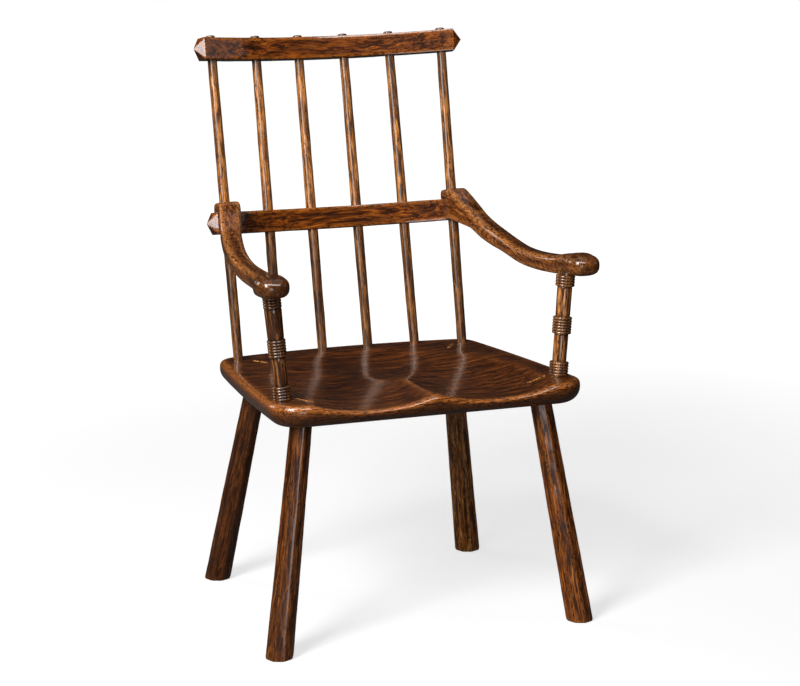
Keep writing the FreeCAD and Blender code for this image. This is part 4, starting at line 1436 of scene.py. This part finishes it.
def make_rail(kind, centre, radius, origin, material):
    """A curved bar with four-sided points; centre is how far back the centre of its arc is."""
    rails = sizes("rails")
    half, face, depth = [getattr(rails, f"{kind}_{part}") for part in ("half", "face", "depth")]
    back, up = rail_axes()
    point = rails.point

    def corner(share, offset):
        """The front or the back of the bar in plan; its ends are turned half way to square."""
        x = abs(share) * half
        skew = mixed(1.0, 0.5, float(ease(0.6, 1.0, abs(share))))
        x = x + offset * x / radius * skew
        y = centre + math.sqrt((radius + offset) ** 2 - x * x)
        return np.array((math.copysign(x, share), y))

    def ring(share):
        """Middle and half depth of the bar's section, in the chair's axes."""
        ends = [corner(share, offset) for offset in (-depth / 2, depth / 2)]
        middle = (ends[0] + ends[1]) / 2
        reach = (ends[1] - ends[0]) / 2
        return origin + X_AXIS * middle[0] + back * middle[1], X_AXIS * reach[0] + back * reach[1]

    turned = math.asin(half / radius)
    rings = Rings()
    for part, share in rail_stops():
        place, reach = ring(part if part else share)
        shrink = 1.0
        if part:
            outward = X_AXIS * math.cos(turned / 2) * part - back * math.sin(turned / 2)
            place = place + outward * point * share
            shrink = 1.0 - share * POINT_SHRINK
        rings.add(place, reach, up, shrink, face / 2 * shrink, power=RAIL_POWER, free=shrink)
    piece = rings.sweep(
        f"{kind}_rail_bar", material, around=72, wander=1.3 * MM, scale=24.0, seed=origin[2]
    )

    def under_shade(places, normals):
        """Painted shade: the underside is dark, and so are the under facets of the points."""
        return 0.85 * ease(-0.15, -0.6, normals[:, 2])

    finish_piece(
        piece, (f"{kind}_rail",), "rail_wood", radius=0.004, passes=1, shade=under_shade
    )


def rail_stops():
    """Where the rings of a rail lie: its right point, its body and its left point."""
    stops = [(-1, share) for share in reversed(POINT_STOPS)]
    stops += [(0, share) for share in np.linspace(-1, 1, RAIL_RINGS)]
    return stops + [(1, share) for share in POINT_STOPS]


def make_rails():
    """The crest rail and the middle rail."""
    rails = sizes("rails")
    spindles = sizes("spindles")
    bow = rails.crest_bow / math.cos(rails.lean)
    crest_radius = (spindles.outer_tip ** 2 + bow ** 2) / (2 * bow)
    material = oak(
        "crest_oak",
        "rail",
        X_AXIS,
        shift=(0.3, 0.1, 0.7),
        Figure=0.45,
        Light_share=0.55,
        Worn=0.8,
        Pitted=0.5,
    )
    make_rail("crest", -crest_radius, crest_radius, crest_origin(), material)
    origin = middle_origin()
    ends = [spindle_at(stick, origin) for stick in ("inner", "outer")]
    centre, radius = rail_arc(origin, ends)
    material = oak(
        "middle_rail_oak",
        "rail",
        X_AXIS,
        shift=(0.9, 0.4, 0.2),
        Figure=0.6,
        Light_share=0.7,
        Worn=0.8,
        Pitted=0.4,
    )
    make_rail("middle", centre, radius, origin, material)


# Arms


# Rings round the back of the block, over the rest of it, over its join with the bar, over
# the bar and over the knob
BACK_RINGS = 9
BLOCK_RINGS = 12
JOIN_RINGS = 22
BAR_RINGS = 70
KNOB_RINGS = 60
# Angle at which the rounding of the block's back starts, and its flat middle ends
BACK_FROM = 0.12
# Share of the arm's curve at which the bar is clear of its block
ROOT_SHARE = 0.16
# Share of the curve over which the sizes of each end fade into those of the middle
END_SHARE = 0.4
# How much fuller the bar is below, where it leaves its block
SHOULDER_SWELL = 4 * MM
# Length over which the bar flares into its knob, and how fully
KNOB_FLARE = 50 * MM
FLARE_AMOUNT = 0.9
# Powers of the sections of the block, the bar and the knob
BLOCK_POWER = 8.0
BAR_POWER = 3.3
KNOB_POWER = 2.7
# The knob's plan, and the narrowest that its end gets
KNOB_ROUND = 2.5
KNOB_END = 0.2 * MM
# The arms' growth rings: where they start, how far they are apart, and how their heads lean
RINGS_FROM = 170 * MM
RING_PITCH = 17 * MM
RING_STRETCH = 1.2
RING_SWEEP = 0.9


def spline(poles, shares, degree=3):
    """Points of a clamped spline at shares of its length."""
    total = len(poles)
    spans = total - degree
    knots = np.concatenate((np.zeros(degree), np.arange(spans + 1), np.full(degree, spans)))
    place = np.clip(np.asarray(shares) * spans, 0, spans - 1e-9)[:, None]
    basis = ((knots[:-1] <= place) & (place < knots[1:])).astype(float)
    for order in range(1, degree + 1):
        rows = len(knots) - order - 1
        fresh = np.zeros((len(place), rows))
        for row in range(rows):
            left = knots[row + order] - knots[row]
            right = knots[row + order + 1] - knots[row + 1]
            if left > 0:
                fresh[:, row] += (place[:, 0] - knots[row]) / left * basis[:, row]
            if right > 0:
                fresh[:, row] += (knots[row + order + 1] - place[:, 0]) / right * basis[:, row + 1]
        basis = fresh
    return basis @ np.asarray(poles)


def arm_poles():
    arms = sizes("arms")
    back, up = rail_axes()
    start = spindle_at("outer", middle_origin()) - back * arms.start_forward + up * arms.start_rise
    knob = np.array(arms.knob)
    poles = [start]
    poles += [np.array(getattr(arms, name)) for name in ("shoulder", "slope", "bow", "grip")]
    poles.append(np.array((knob[0], knob[1], arms.end_height)))
    return poles


def arm_point_at(y):
    """The point of the arm's centre curve at a distance y."""
    points = spline(arm_poles(), np.linspace(0, 1, 4001))
    return points[np.argmin(np.abs(points[:, 1] - y))]


def bar_section(share):
    """Middle and half axes of the arm's bar at a share of its length."""
    arms = sizes("arms")
    poles = arm_poles()
    step = 0.004
    centre = spline(poles, [share])[0]
    pair = spline(poles, [max(share - step, 0), min(share + step, 1)])
    forward = unit(pair[1] - pair[0])
    across = unit(np.cross(Z_AXIS, forward))
    rise = np.cross(forward, across)
    root = max(0.0, 1 - share / END_SHARE)
    front = max(0.0, 1 - (1 - share) / END_SHARE)
    middle = 1 - root - front
    width = root * arms.root_width + middle * arms.middle_width + front * arms.front_width
    thickness = root * arms.root_thickness + middle * arms.middle_thickness
    thickness = thickness + front * arms.front_thickness
    return centre, across * width / 2, rise * thickness / 2


def lap_sections():
    """Sections of the block round the middle rail, from its back to its front."""
    arms = sizes("arms")
    rails = sizes("rails")
    back, up = rail_axes()
    crossing = spindle_at("outer", middle_origin())
    low = arms.lap_foot - rails.middle_face / 2
    high = rails.middle_face / 2 + arms.lap_rise
    half = arms.lap_width / 2
    rounding = arms.lap_back_round
    depth = rails.middle_depth + arms.lap_front
    angles = np.linspace(BACK_FROM, math.pi / 2, BACK_RINGS)
    stops = [rounding * (1 - math.cos(angle)) for angle in angles]
    stops += list(np.linspace(rounding, depth, BLOCK_RINGS)[1:])
    sections = []
    for stop in stops:
        left = max(rounding - stop, 0.0)
        inset = rounding - math.sqrt(rounding ** 2 - left ** 2)
        centre = crossing + back * (rails.middle_depth / 2 - stop) + up * (low + high) / 2
        sections.append((centre, X_AXIS * (half - inset), up * (high - low) / 2, BLOCK_POWER))
    return sections


def knob_section(y, centre, across, rise):
    """The bar's section at y, swollen into the knob."""
    arms = sizes("arms")
    knob = np.array(arms.knob)
    half_length = arms.knob_length / 2
    far = abs(y - knob[1]) / half_length
    bulge = max(0.0, 1 - far ** KNOB_ROUND) ** (1 / KNOB_ROUND)
    bar_left = float(ease(knob[1] - half_length * 0.2, knob[1] + half_length * 0.4, y))
    near = float(ease(knob[1] + half_length + 12 * MM, knob[1] + half_length * 0.5, y))
    floor = knob[2] - arms.knob_thickness / 2 + 0.4 * MM
    crown = 1.0 if y > knob[1] else bulge
    flare_start = knob[1] + half_length + KNOB_FLARE
    flare = FLARE_AMOUNT * float(ease(flare_start, knob[1] + 5 * MM, y))
    limits = []
    reaches = (
        (0, abs(across[0]), arms.knob_width / 2),
        (2, abs(rise[2]), arms.knob_thickness / 2),
    )
    for axis, half_bar, half_full in reaches:
        half_knob = half_full * bulge
        half_flare = half_full * crown
        low = centre[axis] - half_bar * bar_left
        high = centre[axis] + half_bar * bar_left
        high = mixed(high, max(high, knob[axis] + half_flare), flare)
        if axis == 0:
            low = mixed(low, min(low, knob[axis] - half_flare), flare)
        else:
            low = mixed(low, max(low, floor), near)
        # The bar and the knob run into each other over a soft join
        soft = 2 * MM * bar_left
        if bulge > 0 and soft > 1e-4:
            high = soft * np.logaddexp(high / soft, (knob[axis] + half_knob) / soft)
            low = -soft * np.logaddexp(-low / soft, -(knob[axis] - half_knob) / soft)
        elif bulge > 0:
            low, high = knob[axis] - half_knob, knob[axis] + half_knob
        limits.append((low, high))
    (low_x, high_x), (low_z, high_z) = limits
    middle = np.array(((low_x + high_x) / 2, y, (low_z + high_z) / 2))
    wide = X_AXIS * max((high_x - low_x) / 2, KNOB_END)
    tall = Z_AXIS * max((high_z - low_z) / 2, KNOB_END)
    return middle, wide, tall, mixed(BAR_POWER, KNOB_POWER, bulge)


def fuller(centre, across, rise, amount):
    """A section with its underside lower, where the arm leaves its block."""
    extra = SHOULDER_SWELL * amount
    thickness = np.linalg.norm(rise)
    return centre - rise / thickness * extra / 2, across, rise * (1 + extra / 2 / thickness)


def arm_sections():
    """Sections of the left arm from the block at the back to the end of the knob."""
    arms = sizes("arms")
    knob = np.array(arms.knob)
    half_length = arms.knob_length / 2
    sections = lap_sections()
    block_end = len(sections)
    first = bar_section(ROOT_SHARE)
    last = sections[-1]
    for share in np.linspace(0, 1, JOIN_RINGS)[1:-1]:
        middle, across, rise = (mixed(last[part], first[part], share) for part in range(3))
        power = mixed(BLOCK_POWER, BAR_POWER, share)
        sections.append((*fuller(middle, across, rise, 0.5 * share), power))
    bar_start = len(sections)
    curve_shares = np.linspace(0, 1, 400)
    curve = spline(arm_poles(), curve_shares)
    turn_start = knob[1] + half_length + KNOB_FLARE
    turn_share = curve_shares[np.argmin(np.abs(curve[:, 1] - turn_start))]
    for share in np.linspace(ROOT_SHARE, turn_share, BAR_RINGS):
        amount = 0.5 + 0.5 * float(ease(ROOT_SHARE, 0.26, share))
        amount *= float(ease(0.50, 0.32, share))
        sections.append((*fuller(*bar_section(share), amount), BAR_POWER))
    knob_front = knob[1] - half_length
    for angle in np.linspace(0, math.pi / 2, KNOB_RINGS)[1:]:
        y = mixed(turn_start, knob_front, math.sin(angle))
        share = float(np.interp(-y, -curve[:, 1], curve_shares))
        centre, across, rise = bar_section(share)
        centre = centre + Y_AXIS * (y - centre[1])
        middle, wide, tall, power = knob_section(y, centre, across, rise)
        square = float(ease(turn_start, knob[1] + half_length, y))
        sections.append(
            (
                middle,
                mixed(across * np.linalg.norm(wide) / np.linalg.norm(across), wide, square),
                mixed(rise * np.linalg.norm(tall) / np.linalg.norm(rise), tall, square),
                power,
            )
        )
    return soften_joins(sections, (block_end, bar_start))


def soften_joins(sections, joins):
    """Even out the sections on both sides of each join, as a spokeshave would."""
    columns = [np.array([section[part] for section in sections]) for part in range(4)]
    for join in joins:
        for _ in range(3):
            for index in range(join - 3, join + 4):
                for column in columns:
                    column[index] = (column[index - 1] + 2 * column[index] + column[index + 1]) / 4
    return list(zip(*columns))


def make_arms():
    """Both arms: one sculpted form each, with its knob and its block."""
    sections = arm_sections()
    line = np.array([section[0] for section in sections])
    line = line[np.argsort(line[:, 1])]
    knob_back = sizes("arms").knob[1] + sizes("arms").knob_length / 2
    for side, name in SIDES.items():
        mirror = np.array((side, 1, 1))
        rings = Rings()
        for centre, across, rise, power in sections:
            free = float(ease(knob_back - 20 * MM, knob_back + 30 * MM, centre[1])) + 0.15
            rings.add(centre * mirror, across * mirror, rise * mirror, 1.0, power=power, free=free)
        material = oak(
            f"arm_oak_{name}",
            "arm",
            (0.1 * side, -1, -0.1),
            shift=(0.2, 0.6 * side, 0.1),
            Figure=0.4,
            Light_share=0.6,
            Worn=0.8,
            Pitted=0.45,
        )
        piece = rings.sweep(
            f"arm_bar_{name}", material, around=88, wander=0.8 * MM, scale=18.0, seed=side
        )
        # The right knob is the darker one
        depth = 0.55 - 0.15 * side

        def knob_shade(places, normals):
            """The knob is darker than the bar, from long handling."""
            return depth * ease(knob_back + 10 * MM, knob_back - 12 * MM, places[:, 1])

        def ring_arrows(places, normals):
            """Growth rings counted along the bar, which they cross like a row of arrow heads."""
            level = np.interp(places[:, 1], line[:, 1], line[:, 2])
            along = (RINGS_FROM - places[:, 1]) * RING_STRETCH
            return (along - np.abs(places[:, 2] - level) * RING_SWEEP) / RING_PITCH

        def knob_polish(places, normals):
            """The knob is smooth, and the bar isn't."""
            return ease(knob_back + 15 * MM, knob_back - 10 * MM, places[:, 1])

        finish_piece(
            piece,
            (f"arm_{name}",),
            "arm_wood",
            radius=0.008,
            passes=3,
            shade=knob_shade,
            polish=knob_polish,
            arrow=ring_arrows,
        )


# Arm posts


# Rings of one bead and of one shaft
BEAD_RINGS = 9
SHAFT_RINGS = 18
# The shafts are cut in by this much at both ends
SHAFT_STEP = 0.5 * MM


def post_line():
    """Foot, direction and free height of the left arm post."""
    posts = sizes("posts")
    foot = np.array((posts.spread, -posts.reach, sizes("seat").height))
    top = arm_point_at(-posts.top_reach) - X_AXIS * posts.top_inset
    full = np.linalg.norm(top - foot)
    return foot, (top - foot) / full, full - sizes("arms").front_thickness / 2


def bead_ends(underside):
    """Where the lower and the middle beads end and the upper ones start, up from the seat."""
    posts = sizes("posts")
    lower_end = posts.lower_beads * posts.pitch
    middle_end = posts.middle_start + posts.middle_beads * posts.pitch
    return lower_end, middle_end, underside - posts.upper_beads * posts.pitch


def post_profile(underside, bead, upper):
    """Heights and radii of a turned post; bead and upper are its own thicknesses."""
    posts = sizes("posts")
    pitch = posts.pitch
    lower_end, middle_end, upper_start = bead_ends(underside)
    valley = bead / 2 - pitch / 2
    tenon = posts.tenon / 2
    profile = [(-20 * MM, tenon), (-5 * MM, tenon), (-4.9 * MM, valley)]

    def beads(start, amount):
        for index in range(amount):
            for angle in np.linspace(0, math.pi, BEAD_RINGS):
                height = start + pitch * (index + 0.5 - 0.5 * math.cos(angle))
                profile.append((height, valley + pitch / 2 * math.sin(angle) ** 0.8))

    def shaft(low, high):
        for share in np.linspace(0, 1, SHAFT_RINGS):
            height = mixed(low + SHAFT_STEP, high - SHAFT_STEP, share)
            width = np.interp(height, (lower_end, upper_start), (posts.waist_width, upper))
            step = 0.0 if 0 < share < 1 else SHAFT_STEP
            profile.append((height, width / 2 - step))

    beads(0.0, posts.lower_beads)
    shaft(lower_end, posts.middle_start)
    beads(posts.middle_start, posts.middle_beads)
    shaft(middle_end, upper_start)
    beads(upper_start, posts.upper_beads)
    profile.append((underside + 8 * MM, valley))
    return profile


def make_posts():
    """Both turned posts, not quite alike, with their three groups of beads."""
    posts = sizes("posts")
    foot, direction, underside = post_line()
    across = unit(np.cross(Y_AXIS, direction))
    rise = np.cross(direction, across)
    for side, name in SIDES.items():
        mirror = np.array((side, 1, 1))
        bead = posts.bead_width + side * posts.bead_change
        upper = posts.upper_width - side * posts.shaft_change
        rings = Rings()
        for height, radius in post_profile(underside, bead, upper):
            centre = (foot + direction * height) * mirror
            rings.add(centre, across * mirror, rise * mirror, radius)
        material = oak(
            f"post_oak_{name}",
            "post",
            direction * mirror,
            shift=(0.5 * side, 0.8, 0.3),
            Figure=0.3,
            Light_share=1.4,
            Worn=0.4,
            Pitted=0.8,
        )
        piece = rings.sweep(
            f"arm_post_turned_{name}", material, around=56, wander=0.7 * MM, scale=30.0, seed=side
        )
        depth = 0.40 - 0.25 * side

        def on_beads(places, normals):
            """Where the three groups of beads are."""
            height = (places * mirror - foot) @ direction
            lower_end, middle_end, upper_start = bead_ends(underside)
            lower = ease(lower_end + MM, lower_end, height)
            middle = ease(posts.middle_start - MM, posts.middle_start, height)
            middle = middle * ease(middle_end + MM, middle_end, height)
            upper = ease(upper_start - MM, upper_start, height)
            return np.maximum(np.maximum(lower, middle), upper)

        def post_shade(places, normals):
            """The beads are darker than the shaft, and the right post than the left one."""
            return mixed(depth, 0.62 - 0.12 * side, on_beads(places, normals))

        finish_piece(
            piece,
            (f"arm_post_{name}",),
            "post_wood",
            radius=0.0012,
            passes=1,
            shade=post_shade,
            polish=on_beads,
        )


# Stage


# The camera, fitted to the photograph's outline: place in metres and angles in radians
CAMERA_PLACE = Vector((-1.5583, -4.2006, 1.49535))
CAMERA_YAW = 0.36562
CAMERA_PITCH = -0.22126
CAMERA_ROLL = 0.0016
CAMERA_LENS = 109.35
SENSOR_WIDTH = 36.0
SIGHT = 100.0
# Half the floor's width, and how far from its middle its glow starts and stops to rise
FLOOR_REACH = 12.0
GLOW_FROM = 0.9
GLOW_TO = 3.0
# Place, width and height of each soft rectangular lamp, in metres
LAMPS = {
    "key": ((-2.6, -1.9, 3.0), 1.2, 1.2),
    "soft": ((-2.7, -2.4, 1.9), 1.5, 1.0),
    "front": ((-0.75, -3.5, 0.5), 1.4, 0.9),
    "fill": ((2.6, -1.3, 1.7), 1.0, 1.5),
    "top": ((0.0, 0.3, 3.2), 3.0, 3.0),
    "back": ((-2.6, 2.9, 2.0), 1.6, 1.6),
    "glint": ((-0.8, -1.6, 3.1), 4.5, 0.9),
}
LAMP_TARGET = Vector((0.0, 0.0, 0.55))
WHITE = (1.0, 1.0, 1.0, 1.0)


def make_camera():
    """The camera at the photograph's viewing angle."""
    cos_pitch = math.cos(CAMERA_PITCH)
    forward = Vector(
        (math.sin(CAMERA_YAW) * cos_pitch, math.cos(CAMERA_YAW) * cos_pitch, math.sin(CAMERA_PITCH))
    )
    level = Vector((math.cos(CAMERA_YAW), -math.sin(CAMERA_YAW), 0))
    upright = level.cross(forward)
    right = level * math.cos(CAMERA_ROLL) + upright * math.sin(CAMERA_ROLL)
    up = upright * math.cos(CAMERA_ROLL) - level * math.sin(CAMERA_ROLL)
    data = bpy.data.cameras.new("camera")
    data.lens = CAMERA_LENS
    data.sensor_fit = "HORIZONTAL"
    data.sensor_width = SENSOR_WIDTH
    data.clip_end = SIGHT
    camera = bpy.data.objects.new("camera", data)
    turned = Matrix((right, up, -forward)).transposed()
    camera.matrix_world = Matrix.Translation(CAMERA_PLACE) @ turned.to_4x4()
    bpy.context.scene.collection.objects.link(camera)
    bpy.context.scene.camera = camera


def make_lamps():
    """Lamps that look at the chair; the glint lamp lights nothing and shows in the polish."""
    for name, (place, width, height) in LAMPS.items():
        data = bpy.data.lights.new(f"{name}_lamp", "AREA")
        data.shape = "RECTANGLE"
        data.size = width
        data.size_y = height
        data.energy = getattr(sizes("stage"), name)
        lamp = bpy.data.objects.new(f"{name}_lamp", data)
        lamp.location = place
        aim = LAMP_TARGET - Vector(place)
        lamp.rotation_euler = aim.to_track_quat("-Z", "Y").to_euler()
        lamp.visible_diffuse = name != "glint"
        bpy.context.scene.collection.objects.link(lamp)


def make_floor():
    """A pale floor, nearly white in the picture, that lights the chair only a little."""
    stage = sizes("stage")
    mesh = bpy.data.meshes.new("floor")
    turns = ((-1, -1), (1, -1), (1, 1), (-1, 1))
    mesh.from_pydata([(x * FLOOR_REACH, y * FLOOR_REACH, 0) for x, y in turns], [], [(0, 1, 2, 3)])
    material = bpy.data.materials.new("pale_floor")
    tree = empty_tree(material)
    seen = tree.add("ShaderNodeLightPath").outputs["Is Camera Ray"]
    bright = tree.span(seen, 0.0, 1.0, stage.floor_bounce, stage.floor, smooth=False)
    matt = tree.add("ShaderNodeBsdfDiffuse", {"Color": bright})
    place = tree.add("ShaderNodeTexCoord").outputs["Object"]
    away = tree.vector("LENGTH", place)
    far = tree.span(away, GLOW_FROM, GLOW_TO, stage.floor_glow, 1.0)
    glow = tree.add("ShaderNodeEmission", {"Color": WHITE, "Strength": tree.times(seen, far)})
    both = tree.add("ShaderNodeAddShader", {0: matt.outputs[0], 1: glow.outputs[0]})
    tree.add("ShaderNodeOutputMaterial", {"Surface": both.outputs[0]})
    mesh.materials.append(material)
    floor = new_piece("floor", mesh)


def make_world():
    """White where the camera looks past the floor, and dim for the light on the chair."""
    stage = sizes("stage")
    world = bpy.data.worlds.new("studio")
    bpy.context.scene.world = world
    tree = empty_tree(world)
    rays = tree.add("ShaderNodeLightPath")
    mirrored = rays.outputs["Is Glossy Ray"]
    glossy = tree.span(mirrored, 0.0, 1.0, stage.ambient, stage.sheen, smooth=False)
    strength = tree.math("MAXIMUM", glossy, rays.outputs["Is Camera Ray"])
    light = tree.add("ShaderNodeBackground", {"Color": WHITE, "Strength": strength})
    tree.add("ShaderNodeOutputWorld", {"Surface": light.outputs[0]})


# Operators and panel


class ARMCHAIR_OT_seat(bpy.types.Operator):
    """Make the saddled seat"""

    bl_idname = "armchair.seat"
    bl_label = "Seat"

    def execute(self, context):
        make_seat()
        return {"FINISHED"}


class ARMCHAIR_OT_legs(bpy.types.Operator):
    """Make the four legs and their wedges"""

    bl_idname = "armchair.legs"
    bl_label = "Legs"

    def execute(self, context):
        make_legs()
        return {"FINISHED"}


class ARMCHAIR_OT_spindles(bpy.types.Operator):
    """Make the six spindles and their wedges"""

    bl_idname = "armchair.spindles"
    bl_label = "Spindles"

    def execute(self, context):
        make_spindles()
        return {"FINISHED"}


class ARMCHAIR_OT_rails(bpy.types.Operator):
    """Make the crest rail and the middle rail"""

    bl_idname = "armchair.rails"
    bl_label = "Rails"

    def execute(self, context):
        make_rails()
        return {"FINISHED"}


class ARMCHAIR_OT_arms(bpy.types.Operator):
    """Make both arms"""

    bl_idname = "armchair.arms"
    bl_label = "Arms"

    def execute(self, context):
        make_arms()
        return {"FINISHED"}


class ARMCHAIR_OT_posts(bpy.types.Operator):
    """Make both arm posts"""

    bl_idname = "armchair.posts"
    bl_label = "Arm posts"

    def execute(self, context):
        make_posts()
        return {"FINISHED"}


class ARMCHAIR_OT_stage(bpy.types.Operator):
    """Make the floor, the world, the lamps and the camera"""

    bl_idname = "armchair.stage"
    bl_label = "Stage"

    def execute(self, context):
        context.scene.view_settings.view_transform = "Standard"
        make_floor()
        make_world()
        make_lamps()
        make_camera()
        return {"FINISHED"}


OPERATORS = (
    ARMCHAIR_OT_seat,
    ARMCHAIR_OT_legs,
    ARMCHAIR_OT_spindles,
    ARMCHAIR_OT_rails,
    ARMCHAIR_OT_arms,
    ARMCHAIR_OT_posts,
    ARMCHAIR_OT_stage,
)


class ARMCHAIR_PT_panel(bpy.types.Panel):
    """The pieces of the armchair and their sizes"""

    bl_idname = "ARMCHAIR_PT_panel"
    bl_label = "Armchair"
    bl_space_type = "VIEW_3D"
    bl_region_type = "UI"
    bl_category = "Armchair"

    def draw(self, context):
        for operator in OPERATORS:
            self.layout.operator(operator.bl_idname)
        for name, group in GROUPS.items():
            box = self.layout.box()
            box.label(text=name.capitalize())
            for key in group.__annotations__:
                box.prop(sizes(name), key)


def register():
    for name, group in GROUPS.items():
        bpy.utils.register_class(group)
        setattr(bpy.types.Scene, f"armchair_{name}", bpy.props.PointerProperty(type=group))
    for item in (*OPERATORS, ARMCHAIR_PT_panel):
        bpy.utils.register_class(item)


def unregister():
    for item in reversed((*OPERATORS, ARMCHAIR_PT_panel)):
        bpy.utils.unregister_class(item)
    for name, group in GROUPS.items():
        delattr(bpy.types.Scene, f"armchair_{name}")
        bpy.utils.unregister_class(group)


def main():
    register()
    for operator in OPERATORS:
        name = operator.bl_idname.split(".")[1]
        getattr(bpy.ops.armchair, name)()


if __name__ == "__main__":
    main()
